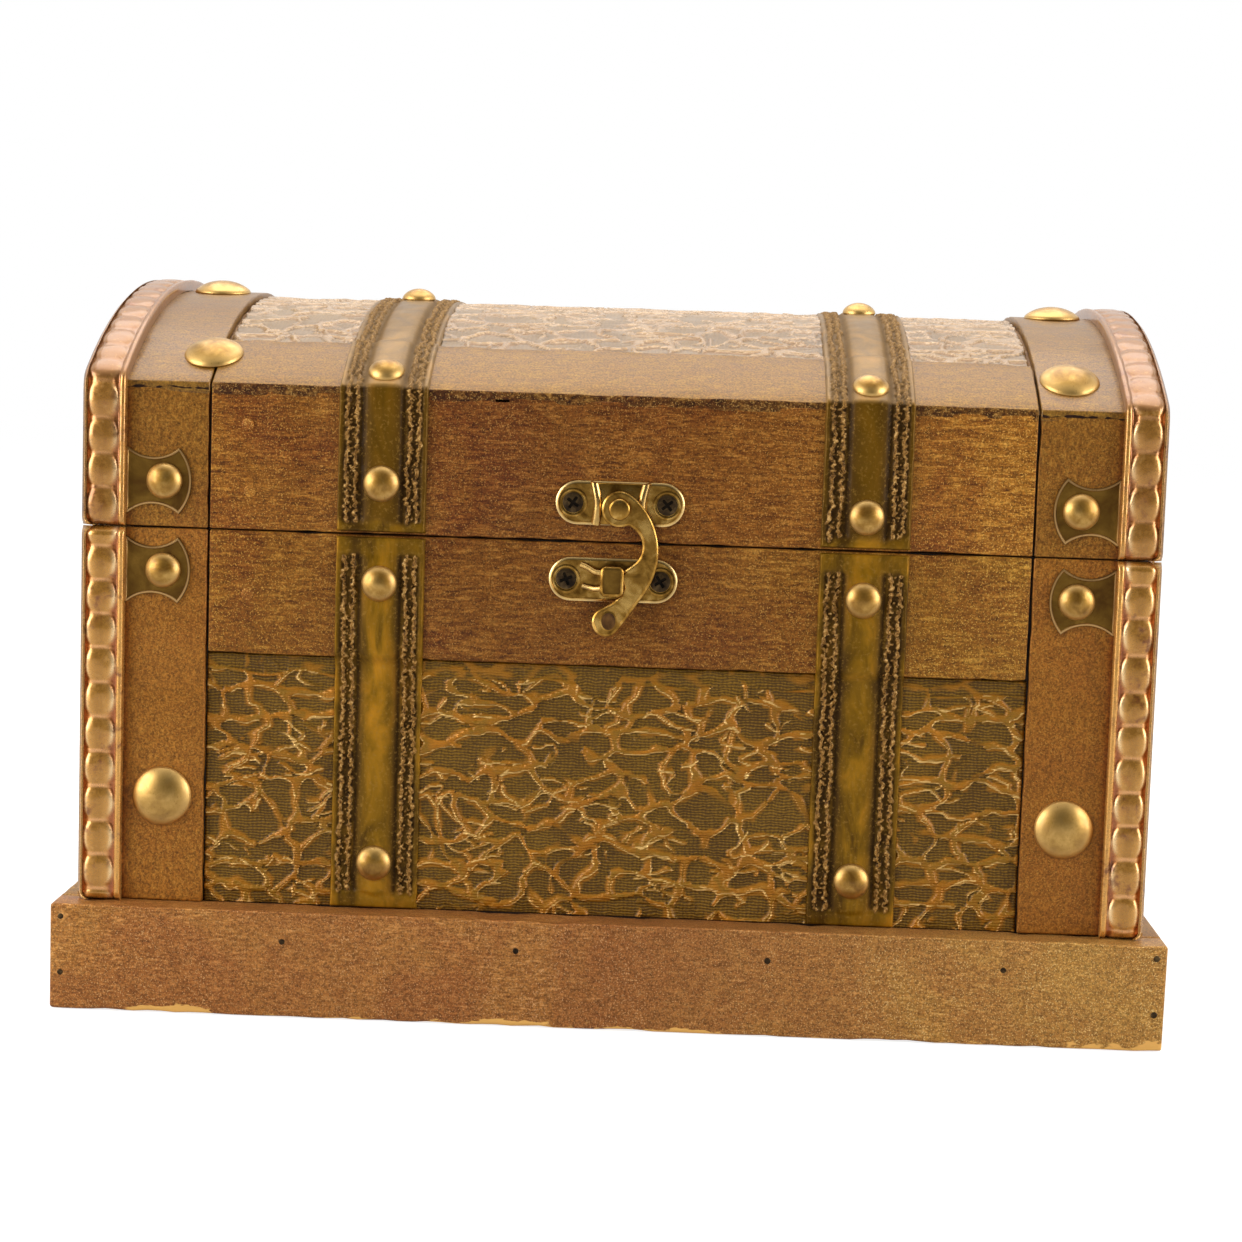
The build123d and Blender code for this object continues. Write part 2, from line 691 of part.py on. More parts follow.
# Straps of the lid: up the front, over the edge and the arch, and down the back
for side, place in zip(("left", "right"), strap_places):
    across = (place - strap_width / 2, place + strap_width / 2)
    with BuildPart() as lid_strap:
        for end in corner_signs:
            shoulder = arch_height(face_y, arch_radius)
            block(across, sorted((end * face_y, end * strap_face)), (lid_z + strap_end_gap, shoulder))
            arched_sheet(across, strap_face, arch_radius + glue_gap, strap_radius,
                         sorted((end * (slope_y - strap_thickness), end * strap_face)))
            arched_sheet(across, face_y, skin_radius + glue_gap, strap_radius,
                         sorted((end * (slope_y - strap_thickness - glue_gap), end * (slope_y - glue_gap))))
        arched_sheet(across, face_y, skin_radius + glue_gap, low_strap_radius,
                     (glue_gap - slope_y, slope_y - glue_gap))
        holes(lid_front_nails + lid_back_nails + lid_arch_nails, nail_hole_radius, nail_shank_length)
    save(lid_strap, "lid_" + side + "_strap")

with BuildPart() as lid_small_nails:
    with Locations(*lid_front_nails, *lid_back_nails, *lid_side_nails, *lid_arch_nails):
        add(small_nail)
save(lid_small_nails, "lid_small_nails")

with BuildPart() as lid_large_nails:
    with Locations(*large_arch_nails):
        add(large_nail)
save(lid_large_nails, "lid_large_nails")


# Latch: a plate with a raised bridge on the lid, a catch plate with a lug, and the swinging hook
def latch_base(x, z):
    """The long round-ended plate of the latch, lying on the front."""
    with BuildSketch(front_spot(x, z)) as plate:
        SlotOverall(plate_length, plate_width)
    extrude(plate.sketch, amount=plate_thickness)


with BuildPart() as latch_plate:
    latch_base(0, latch_plate_z)
    half_bridge = plate_bridge_length / 2
    block((-half_bridge, half_bridge), (-bridge_face, -face_y - plate_thickness),
          (latch_plate_z - plate_width / 2, latch_plate_z + plate_width / 2))
    bridge_edges = latch_plate.edges().filter_by(Axis.Z).group_by(Axis.Y)[0]
    fillet(bridge_edges, plate_bridge_height / 2)
    with Locations(*latch_screw_spots):
        countersunk_shape(screw_fit, mode=Mode.SUBTRACT)
    holes([front_spot(0, pivot_z, bridge_face)], rivet_radius + screw_fit, bridge_face - face_y)
save(latch_plate, "latch_plate")

lug_x = -lug_shift
lug_left = lug_x - lug_width / 2
with BuildPart() as catch_plate:
    latch_base(-catch_plate_shift, catch_plate_z)
    block((lug_left, lug_left + lug_post_width), (-rivet_head_back, -face_y - plate_thickness),
          (catch_plate_z - lug_post_height / 2, catch_plate_z + lug_post_height / 2))
    with BuildSketch(front_spot(lug_x, catch_plate_z, rivet_head_back)):
        RectangleRounded(lug_width, lug_height, lug_width / 4)
    extrude(amount=lug_head_thickness)
    fillet(catch_plate.faces().sort_by(Axis.Y)[0].edges(), lug_edge_round)
    with Locations(*catch_screw_spots):
        countersunk_shape(screw_fit, mode=Mode.SUBTRACT)
save(catch_plate, "catch_plate")

with BuildPart() as latch_rivet:
    with BuildSketch(front_spot(0, pivot_z)):
        Circle(rivet_radius)
    extrude(amount=rivet_head_back - face_y)
    with BuildSketch(front_spot(0, pivot_z, rivet_head_back)):
        Circle(rivet_head_radius)
    extrude(amount=rivet_head_height)
    fillet(latch_rivet.edges().sort_by(Axis.Y)[0], rivet_head_height / 2)
save(latch_rivet, "latch_rivet")

# Outline of the hook below its eye, as shares of its reach (x) and length (z)
outer_arc_shares = ((0.2, 0.134), (1.0, -0.29), (0.545, -0.71))
tail_arc_shares = ((0.05, -0.95), (-0.62, -0.87), (-0.25, -0.765))
notch_shares = ((0.23, -0.665), (0.30, -0.60))
tooth_shares = ((-0.03, -0.555), (-0.03, -0.50), (0.30, -0.445))
inner_arc_shares = ((0.60, -0.31), (0.25, -0.125))


def hook_point(share):
    """A point of the hook's outline in millimetres from its pivot."""
    return (share[0] * hook_reach, share[1] * hook_length)


with BuildPart() as latch_hook:
    with BuildSketch(front_spot(0, pivot_z, hook_back)):
        Circle(hook_eye_radius)
        with BuildLine():
            outer = [hook_point(share) for share in outer_arc_shares]
            notch = [hook_point(share) for share in notch_shares]
            tooth = [hook_point(share) for share in tooth_shares]
            inner = [hook_point(share) for share in inner_arc_shares]
            tail = [hook_point(share) for share in tail_arc_shares]
            ThreePointArc(*outer)
            Line(outer[-1], tail[0])
            ThreePointArc(*tail)
            Polyline(tail[-1], *notch, *tooth)
            ThreePointArc(tooth[-1], *inner)
            Line(inner[-1], outer[0])
        make_face()
        Circle(rivet_radius + rivet_fit, mode=Mode.SUBTRACT)
    extrude(amount=hook_thickness)
save(latch_hook, "latch_hook")

with BuildPart() as lid_screws:
    with Locations(*latch_screw_spots):
        add(latch_screw)
    with Locations(*lid_hinge_screws):
        add(hinge_screw)
save(lid_screws, "lid_screws")

with BuildPart() as body_screws:
    with Locations(*catch_screw_spots):
        add(latch_screw)
    with Locations(*body_hinge_screws):
        add(hinge_screw)
save(body_screws, "body_screws")


# Hinges: the body leaf has the two outer knuckles, the lid leaf the middle one
half_hinge = hinge_length / 2
half_middle = middle_knuckle_length / 2
outer_knuckle_length = half_hinge - half_middle - knuckle_end_gap


def knuckle_range(x, which):
    """The stretch along X of one knuckle: -1 and 1 are the outer ones, 0 the middle one."""
    if which == 0:
        return (x - half_middle, x + half_middle)
    return tuple(sorted((x + which * (half_hinge - outer_knuckle_length), x + which * half_hinge)))


def knuckle_bar(x_range, radius, mode=Mode.ADD):
    """A round bar along the hinge axis."""
    with BuildSketch(Plane.YZ.offset(x_range[0])) as section:
        with Locations((hinge_axis_y, hinge_axis_z)):
            Circle(radius)
    extrude(section.sketch, amount=x_range[1] - x_range[0], mode=mode)


def hinge_leaf(x, up, own, other):
    """A leaf above (up = 1) or below (up = -1) the axis, with its own knuckles."""
    near = hinge_axis_z + up * leaf_edge_offset
    far = near + up * hinge_leaf_height
    block((x - half_hinge, x + half_hinge), (face_y, leaf_face), sorted((near, far)))
    for which in other:
        low, high = knuckle_range(x, which)
        knuckle_bar((low - knuckle_end_gap, high + knuckle_end_gap), knuckle_radius + knuckle_end_gap,
                    mode=Mode.SUBTRACT)
    for which in own:
        stretch = knuckle_range(x, which)
        block(stretch, (face_y, hinge_axis_y), sorted((near, near + up * hinge_leaf_thickness)))
        knuckle_bar(stretch, knuckle_radius)
    knuckle_bar((x - half_hinge - overrun, x + half_hinge + overrun), hinge_pin_radius + hinge_pin_fit,
                mode=Mode.SUBTRACT)


for name, up, own, other, screws in (
        ("hinge_lid_leaves", 1, (0,), (-1, 1), lid_hinge_screws),
        ("hinge_body_leaves", -1, (-1, 1), (0,), body_hinge_screws)):
    with BuildPart() as hinge_leaves:
        for sign in corner_signs:
            hinge_leaf(sign * hinge_x, up, own, other)
        holes(screws, hinge_hole_radius, hinge_screw_length)
    save(hinge_leaves, name)

with BuildPart() as hinge_pins:
    for sign in corner_signs:
        low = sign * hinge_x - half_hinge
        high = sign * hinge_x + half_hinge
        knuckle_bar((low, high), hinge_pin_radius)
        knuckle_bar((low - hinge_pin_cap_length, low), hinge_pin_cap_radius)
        knuckle_bar((high, high + hinge_pin_cap_length), hinge_pin_cap_radius)
save(hinge_pins, "hinge_pins")
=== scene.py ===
import json
import math

import bpy
import numpy as np
from mathutils import Matrix, Vector, noise


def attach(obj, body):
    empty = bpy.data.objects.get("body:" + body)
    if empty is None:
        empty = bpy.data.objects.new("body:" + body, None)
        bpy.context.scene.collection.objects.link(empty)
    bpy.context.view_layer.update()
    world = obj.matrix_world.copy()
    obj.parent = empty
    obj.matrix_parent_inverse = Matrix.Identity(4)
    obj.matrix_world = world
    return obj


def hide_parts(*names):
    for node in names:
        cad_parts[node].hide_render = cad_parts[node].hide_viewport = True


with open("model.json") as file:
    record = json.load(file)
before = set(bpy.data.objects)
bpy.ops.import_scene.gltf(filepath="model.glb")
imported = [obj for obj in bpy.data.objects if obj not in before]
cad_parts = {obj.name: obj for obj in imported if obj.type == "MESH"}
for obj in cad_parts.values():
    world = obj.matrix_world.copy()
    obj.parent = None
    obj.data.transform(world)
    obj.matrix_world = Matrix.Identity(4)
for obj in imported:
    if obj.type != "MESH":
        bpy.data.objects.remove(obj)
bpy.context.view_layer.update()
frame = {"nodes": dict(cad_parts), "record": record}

MM = 0.001
SIDES = (-1, 1)
ENDS = ((-1, "front"), (1, "back"))
HANDS = ((-1, "left"), (1, "right"))
dice = np.random.default_rng(7)

# Heights, planes and arch of the chest, in millimetres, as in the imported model
SEAM_Z = 104.0
LID_Z = 104.3
RAIL_Z = 77.6
PLINTH_Z = 23.0
FACING_TOP_Z = 134.0
PLINTH_X = 119.42
PLINTH_Y = 79.42
FACE_Y = 72.5
BOARD_BACK_Y = 70.3
SIDE_X = 112.5
CORNER_X = 88.0
FIELD_X = 87.55
TRIM_X = 115.0
TRIM_Y = 75.0
TRIM_LEG = 9.5
ARCH_Z = 13.89
ARCH_RADIUS = 141.41
TRIM_RADIUS = 143.91
STRAP_RADIUS = 142.81
LOW_STRAP_RADIUS = 141.31
SKIN_RADIUS = 139.75
STRAP_X = (-50.8, 52.2)
STRAP_WIDTH = 19.0
STRAP_THICK = 1.4
BODY_BRACKET_Z = 95.0
LID_BRACKET_Z = 114.1
LATCH_Z = 112.5
PIVOT_Z = 111.5
CATCH_Z = 96.2
HINGE_X = 75.0
HINGE_Y = 75.3
HINGE_Z = 104.15


def span(sign, near, far):
    """From a near to a far distance on the negative or positive side, in rising order."""
    return sorted((sign * near, sign * far))


def moved(x, y, z):
    """A move by millimetres."""
    return Matrix.Translation(Vector((x, y, z)) * MM)


def spun(degrees, axis):
    """A turn about an axis."""
    return Matrix.Rotation(math.radians(degrees), 4, axis)


def rest():
    """Leave edit mode and select nothing."""
    if bpy.context.object and bpy.context.object.mode != "OBJECT":
        bpy.ops.object.mode_set(mode="OBJECT")
    bpy.ops.object.select_all(action="DESELECT")


def only(piece):
    """Select one piece and make it the active one."""
    rest()
    piece.select_set(True)
    bpy.context.view_layer.objects.active = piece


def settle(name):
    """Name the piece just added and put its place into its mesh."""
    piece = bpy.context.object
    piece.name = piece.data.name = name
    bpy.ops.object.transform_apply(location=True, rotation=True, scale=True)
    return piece


def edit(piece, select="SELECT"):
    """Open a piece in edit mode with all or none of it selected."""
    only(piece)
    bpy.ops.object.mode_set(mode="EDIT")
    bpy.ops.mesh.select_mode(type="FACE")
    bpy.ops.mesh.select_all(action=select)


def extrude(x, y, z):
    """Extrude what is selected by a step in metres."""
    bpy.ops.mesh.extrude_region_move(TRANSFORM_OT_translate={"value": (x, y, z)})


def bevel(edge, segments):
    """Round the selected edges, in millimetres."""
    bpy.ops.mesh.bevel(offset=edge * MM, segments=segments, affect="EDGES")


def outward(piece):
    """Turn the normals of a piece outwards."""
    edit(piece)
    bpy.ops.mesh.normals_make_consistent(inside=False)
    rest()
    return piece


def disc(name, sides, radius, height=0.0):
    """A flat round face, in millimetres."""
    rest()
    bpy.ops.mesh.primitive_circle_add(vertices=sides, radius=radius * MM, fill_type="NGON",
                                      location=(0.0, 0.0, height * MM))
    return settle(name)


def cuboid(name, size, middle, edge, segments=3):
    """A box with rounded edges, left open in edit mode; its size and middle are in metres."""
    rest()
    bpy.ops.mesh.primitive_cube_add(size=1.0, location=middle, scale=size)
    piece = settle(name)
    edit(piece)
    bevel(edge, segments)
    return piece


def smooth(piece, degrees=15):
    """Shade a piece smooth but keep its real corners."""
    only(piece)
    bpy.ops.object.shade_smooth_by_angle(angle=math.radians(degrees))
    return piece


def rimmed(piece, level_at):
    """Mark each point of a metal piece with how much of its rim colour it gets there: a painted highlight,
    and in dark steel a painted shade.
    """
    layer = piece.data.attributes.new("rim", "FLOAT", "POINT")
    for value, vertex in zip(layer.data, piece.data.vertices):
        value.value = level_at(vertex.co)
    return piece


def dress(piece, material, body, *nodes):
    """Give a finished piece its material and its body, and hide the nodes that it stands for."""
    piece.data.materials.clear()
    piece.data.materials.append(material)
    if body:
        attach(piece, body)
    if nodes:
        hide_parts(*nodes)
    return piece


def joined(pieces, name):
    """Join several pieces into one."""
    rest()
    for piece in pieces:
        piece.select_set(True)
    bpy.context.view_layer.objects.active = pieces[0]
    if len(pieces) > 1:
        bpy.ops.object.join()
    pieces[0].name = pieces[0].data.name = name
    return pieces[0]


def copies(pattern, places, name):
    """Copies of a pattern piece, each with its own mesh, at these places; the pattern itself goes."""
    twins = []
    for place in places:
        twin = pattern.copy()
        twin.data = pattern.data.copy()
        bpy.context.collection.objects.link(twin)
        twin.data.transform(place)
        twins.append(twin)
    bpy.data.objects.remove(pattern, do_unlink=True)
    return joined(twins, name)


def facing(place, out, turn=0.0, grow=1.0):
    """The place of a pattern: its Z points out, and it is turned about that by some degrees."""
    out = Vector(out).normalized()
    across = Vector((0, 0, 1)).cross(out)
    across = Vector((1, 0, 0)) if across.length < 0.3 else across.normalized()
    above = out.cross(across)
    upright = Matrix((across, above, out)).transposed().to_4x4()
    return moved(*place) @ upright @ spun(turn, "Z") @ Matrix.Scale(grow, 4)


def arc(start, middle, end, count):
    """Points on the arc through three points, without its last one."""
    (ax, ay), (bx, by), (cx, cy) = start, middle, end
    d = 2 * (ax * (by - cy) + bx * (cy - ay) + cx * (ay - by))
    squares = (ax * ax + ay * ay, bx * bx + by * by, cx * cx + cy * cy)
    ux = (squares[0] * (by - cy) + squares[1] * (cy - ay) + squares[2] * (ay - by)) / d
    uy = (squares[0] * (cx - bx) + squares[1] * (ax - cx) + squares[2] * (bx - ax)) / d
    radius = math.hypot(ax - ux, ay - uy)
    first, half, last = (math.atan2(y - uy, x - ux) for x, y in (start, middle, end))
    sweep = (last - first) % math.tau
    if (half - first) % math.tau > sweep:
        sweep -= math.tau
    angles = [first + sweep * step / count for step in range(count)]
    return [(ux + radius * math.cos(a), uy + radius * math.sin(a)) for a in angles]


# Finishes; SLOTS has the record slot of each material by its name
SLOTS = {}
GAMMA = 0.4545
FADE_LENGTH = 240.0
CHIP_HEIGHT = 15.0
CROWN_SHEEN_HALF = 54.0
WALL_FACE_Y = 70.1
WALL_INSIDE_X = 111.0
BARE_WOOD = ((0.3, (140, 98, 58)), (0.5, (168, 124, 78)), (0.7, (190, 148, 100)))


def shade(colour):
    """A colour given as sRGB 0-255 or as one grey level, made linear."""
    if isinstance(colour, (int, float)):
        return (colour, colour, colour, 1.0)
    linear = []
    for channel in colour:
        value = channel / 255
        linear.append(value / 12.92 if value <= 0.04045 else ((value + 0.055) / 1.055) ** 2.4)
    return (*linear, 1.0)


class Nodes:
    """A node tree, built up node by node."""

    def __init__(self, tree):
        self.tree = tree

    def feed(self, socket, value):
        """Link a socket to another one, or set its value."""
        if isinstance(value, bpy.types.NodeSocket):
            self.tree.links.new(value, socket)
        else:
            socket.default_value = value

    def node(self, kind, inputs=(), **values):
        """A new node with its inputs, by name or number, and its settings."""
        made = self.tree.nodes.new(kind)
        for key, value in values.items():
            setattr(made, key, value)
        for key, value in dict(inputs).items():
            self.feed(made.inputs[key], value)
        return made

    def sum(self, first, second, how="ADD"):
        """Two values added up, or put together in another way."""
        return self.node("ShaderNodeMath", {0: first, 1: second}, operation=how).outputs["Value"]

    def times(self, first, second):
        return self.sum(first, second, "MULTIPLY")


class Finish(Nodes):
    """A procedural material on object coordinates and on the marks of the meshes."""

    def __init__(self, name, slot=None):
        self.material = bpy.data.materials.new(name)
        SLOTS[self.material.name] = slot or name
        self.material.use_nodes = True
        super().__init__(self.material.node_tree)
        self.shader = self.tree.nodes["Principled BSDF"]
        self.place = self.node("ShaderNodeTexCoord").outputs["Object"]

    def axis(self, letter):
        """One of the object coordinates."""
        return self.node("ShaderNodeSeparateXYZ", {0: self.place}).outputs[letter]

    def mark(self, name):
        """One of the marks that a mesh carries at each point."""
        return self.node("ShaderNodeAttribute", attribute_type="GEOMETRY", attribute_name=name).outputs["Fac"]

    def noise(self, scale, detail=3.0, roughness=0.55, distortion=0.0):
        """Noise with this many features per metre, or with three numbers for the three axes."""
        scale = scale if isinstance(scale, tuple) else (scale, scale, scale)
        mapping = self.node("ShaderNodeMapping", {"Vector": self.place, "Scale": scale})
        inputs = {"Vector": mapping.outputs["Vector"], "Scale": 1.0, "Detail": detail,
                  "Roughness": roughness, "Distortion": distortion}
        return self.node("ShaderNodeTexNoise", inputs).outputs["Fac"]

    def ramp(self, source, *stops):
        """A ramp from values to colours or grey levels."""
        made = self.node("ShaderNodeValToRGB", {"Fac": source})
        elements = made.color_ramp.elements
        while len(elements) < len(stops):
            elements.new(0.5)
        for element, (position, colour) in zip(elements, stops):
            element.position = position
            element.color = shade(colour)
        return made.outputs["Color"]

    def mix(self, factor, first, second, how="MIX"):
        """The second colour over the first one, by a factor."""
        made = self.node("ShaderNodeMix", data_type="RGBA", blend_type=how)
        for socket, value in (("Factor", factor), ("A", first), ("B", second)):
            target = [s for s in made.inputs if s.name == socket and s.enabled][0]
            self.feed(target, shade(value) if isinstance(value, tuple) else value)
        return [s for s in made.outputs if s.enabled][0]

    def blend(self, guide, *parts):
        """The second of two colours over the first where a guide says so; stops turn it into a share."""
        *stops, first, second = parts
        return self.mix(self.ramp(guide, *stops), first, second)

    def level(self, name, source):
        """Feed one input of the shader."""
        self.feed(self.shader.inputs[name], source)

    def gloss(self, coat, coat_roughness, specular=0.5):
        """How much coat there is, how rough it is, and how strongly the ground reflects."""
        self.level("Coat Weight", coat)
        self.level("Coat Roughness", coat_roughness)
        self.level("Specular IOR Level", specular)

    def bump(self, source, height, strength):
        """One more layer of bumps, up to a height in millimetres, over those before it."""
        normal = self.shader.inputs["Normal"]
        inputs = {"Strength": strength, "Distance": height * MM, "Height": source}
        if normal.is_linked:
            inputs["Normal"] = normal.links[0].from_socket
        self.feed(normal, self.node("ShaderNodeBump", inputs).outputs["Normal"])


def gold_wood(name, grain, contrast=1.0, warm=0.0, tint=(1.0, 1.0, 1.0), wavy=0.5, chips=False, coat=0.0,
              along_x=None, bare_inside=False):
    """Antique gold paint over wood; grain has the features per metre along X, Y and Z."""
    finish = Finish(name, "gold_wood")
    fibre = finish.noise(grain, 4.0, 0.62, wavy)
    patches = finish.noise(30.0, 5.0, 0.6, 0.8)
    cloud = finish.noise(11.0, 2.0, 0.5)
    specks = finish.noise(2300.0, 2.0, 0.6)
    flakes = finish.noise(3400.0, 1.0, 0.5)

    def tone(colour, about=(138, 88, 34)):
        return tuple(min(255, max(0, (a + (c - a) * contrast) * t)) for c, a, t in zip(colour, about, tint))

    def fibres(*stops):
        return finish.ramp(fibre, *((stop, tone(colour)) for stop, colour in stops))

    base = fibres((0.28, (78, 42, 14)), (0.42, (120, 74, 24)), (0.54, (148, 97, 34)), (0.68, (198, 146, 70)))
    red = fibres((0.28, (62, 24, 8)), (0.45, (106, 54, 20)), (0.56, (130, 74, 28)), (0.70, (172, 112, 52)))
    painted = finish.blend(patches, (0.50 - warm, 0.0), (0.66 - warm, 0.85), base, red)
    shaded = finish.blend(cloud, (0.38, 0.0), (0.62, 0.5), painted, tone((112, 66, 26)))
    grit = finish.mix(1.0, shaded, finish.ramp(specks, (0.30, 0.50), (0.5, 1.0), (0.70, 1.5)), "MULTIPLY")
    colour = finish.blend(flakes, (0.60, 0.0), (0.70, 0.85), grit, tone((222, 172, 96)))
    if along_x:
        # The colour changes along X, from one end of the board to the other
        way = finish.sum(finish.times(finish.axis("X"), 1 / (FADE_LENGTH * MM)), 0.5)
        stops = [(stop, tuple(255 * share ** GAMMA for share in shares)) for stop, shares in along_x]
        colour = finish.mix(1.0, colour, finish.ramp(way, *stops), "MULTIPLY")
    if chips:
        rough_edge = finish.noise((36.0, 36.0, 110.0), 5.0, 0.66)
        height = finish.sum(finish.times(finish.axis("Z"), 1 / (CHIP_HEIGHT * MM)), rough_edge)
        colour = finish.blend(height, (0.51, 1.0), (0.53, 0.0), colour, (226, 172, 92))
    finish.level("Metallic", 0.35)
    if bare_inside:
        # Only the outside of a wall is painted
        across = finish.sum(finish.axis("X"), 0.0, "ABSOLUTE")
        inside = finish.sum(across, WALL_INSIDE_X * MM, "LESS_THAN")
        colour = finish.mix(inside, colour, finish.ramp(fibre, *BARE_WOOD))
        finish.level("Metallic", finish.ramp(inside, (0.0, 0.35), (1.0, 0.0)))
    finish.level("Base Color", colour)
    finish.level("Roughness", finish.ramp(fibre, (0.3, 0.42), (0.7, 0.52)))
    finish.gloss(coat, 0.28, 0.25)
    finish.bump(fibre, 0.10, 0.6 * contrast)
    finish.bump(specks, 0.05, 0.45)
    return finish.material


# How the colour changes along X, as shares of red, green and blue
RAIL_FADE = ((0.12, (0.83, 0.80, 0.76)), (0.36, (0.56, 0.48, 0.58)), (0.55, (0.62, 0.54, 0.62)),
             (0.86, (0.96, 1.02, 1.05)))
LID_FADE = ((0.12, (0.80, 0.79, 0.74)), (0.42, (0.57, 0.52, 0.62)), (0.62, (0.70, 0.65, 0.68)),
            (0.86, (1.0, 1.04, 1.05)))
PLINTH_FADE = ((0.02, (0.83, 0.67, 0.68)), (0.5, (0.75, 0.585, 0.64)), (0.9, (1.0, 1.0, 1.0)))
# On the corner boards: a thin dark red line right beside the edges of the trims
BESIDE_TRIM = ((0.0604, (0.50, 0.30, 0.26)), (0.0645, (1.0, 1.0, 1.0)), (0.9355, (1.0, 1.0, 1.0)),
               (0.9396, (0.50, 0.30, 0.26)))
rail_wood = gold_wood("rail_wood", (230.0, 900.0, 1300.0), 0.8, 0.0, (1.07, 1.08, 0.88), along_x=RAIL_FADE)
lid_wood = gold_wood("lid_wood", (210.0, 900.0, 1350.0), 0.85, 0.03, (1.07, 1.04, 0.88), 1.2,
                     along_x=LID_FADE)
corner_wood = gold_wood("corner_wood", (1500.0, 900.0, 640.0), 0.40, 0.05, (1.04, 1.03, 0.86),
                        along_x=BESIDE_TRIM)
lid_corner_wood = gold_wood("lid_corner_wood", (1500.0, 900.0, 640.0), 0.45, 0.05, (0.96, 0.97, 0.80),
                            along_x=BESIDE_TRIM)
band_wood = gold_wood("band_wood", (260.0, 900.0, 900.0), 0.38, -0.05, (0.90, 0.96, 0.76), coat=0.34)
slope_wood = gold_wood("slope_wood", (240.0, 1100.0, 1100.0), 0.38, -0.05, (0.91, 0.98, 0.80), coat=0.2)
plinth_wood = gold_wood("plinth_wood", (330.0, 1500.0, 1700.0), 0.55, 0.09, (1.26, 1.45, 1.81), 0.4, True,
                        along_x=PLINTH_FADE)
plinth_side_wood = gold_wood("plinth_side_wood", (1500.0, 330.0, 1700.0), 0.55, 0.09, (1.12, 1.26, 1.5), 0.4,
                             True)
# The sides: a darker copy of the gold paint, a painted shade against the strong light on them
shaded_side_wood = gold_wood("shaded_side_wood", (900.0, 160.0, 1000.0), 0.85, 0.02, (0.80, 0.76, 0.62), bare_inside=True)
end_grain = gold_wood("end_grain", (700.0, 900.0, 900.0), 1.6, 0.0, (0.66, 0.62, 0.55))
plug_wood = gold_wood("plug_wood", (900.0, 900.0, 900.0), 0.7, 0.0, (1.12, 1.14, 1.1))
crack_shade = gold_wood("crack_shade", (900.0, 900.0, 900.0), 0.9, 0.0, (0.24, 0.16, 0.12))


def bare_wood(name):
    """Unpainted light wood inside the chest."""
    finish = Finish(name)
    fibre = finish.noise((60.0, 700.0, 700.0), 5.0, 0.6, 0.5)
    pores = finish.noise((500.0, 3000.0, 3000.0), 2.0)
    colour = finish.blend(pores, (0.62, 0.0), (0.72, 0.5), finish.ramp(fibre, *BARE_WOOD), (110, 72, 40))
    # Painted shade where the walls show through the gaps between the boards on them
    outside = finish.sum(finish.sum(finish.axis("Y"), 0.0, "ABSOLUTE"), WALL_FACE_Y * MM, "GREATER_THAN")
    finish.level("Base Color", finish.mix(outside, colour, (42, 24, 10)))
    finish.level("Roughness", finish.ramp(fibre, (0.3, 0.55), (0.7, 0.7)))
    finish.bump(fibre, 0.08, 0.5)
    return finish.material


carcass_wood = bare_wood("carcass_wood")


def metal(name, low, mid, high, roughness, patch, metallic=1.0, rim=(220, 184, 118), coat=0.0, slot=None):
    """A tarnished metal: its colour and polish change in small clouds, with fine scratches."""
    finish = Finish(name, slot)
    clouds = finish.noise(patch, 4.0, 0.6, 0.4)
    scratches = finish.noise((4200.0, 500.0, 1400.0), 2.0, 0.5)
    colour = finish.ramp(clouds, (0.34, low), (0.50, mid), (0.66, high))
    # Painted light at the marked rims: a painted highlight where the rim colour is bright, a painted shade
    # where it is dark
    painted_light = finish.mix(finish.times(finish.mark("rim"), 0.85), colour, rim)
    finish.level("Base Color", finish.blend(scratches, (0.64, 0.0), (0.74, 0.45), painted_light, low))
    finish.level("Metallic", metallic)
    finish.level("Roughness", finish.ramp(clouds, (0.35, roughness + 0.08), (0.65, roughness - 0.04)))
    finish.gloss(coat, 0.22)
    finish.bump(scratches, 0.015, 0.3)
    finish.bump(clouds, 0.10, 0.25)
    return finish.material


brass = metal("brass", (124, 86, 30), (154, 114, 46), (184, 144, 74), 0.42, 260.0, rim=(220, 180, 108),
              coat=0.35, slot="brass_nail")
dark_brass = metal("dark_brass", (88, 58, 16), (112, 80, 26), (140, 104, 40), 0.36, 150.0, 0.85,
                   rim=(190, 150, 96))
antique_brass = metal("antique_brass", (100, 68, 24), (162, 120, 52), (210, 168, 92), 0.28, 260.0,
                      rim=(236, 204, 140))
tail_brown = metal("tail_brown", (58, 34, 12), (84, 54, 22), (110, 74, 34), 0.42, 400.0, 0.7)
# Its rim colour is a painted shade, for the cross recesses of the screws
dark_steel = metal("dark_steel", (34, 24, 14), (62, 46, 26), (92, 72, 44), 0.42, 500.0, 0.85, rim=(8, 5, 3))


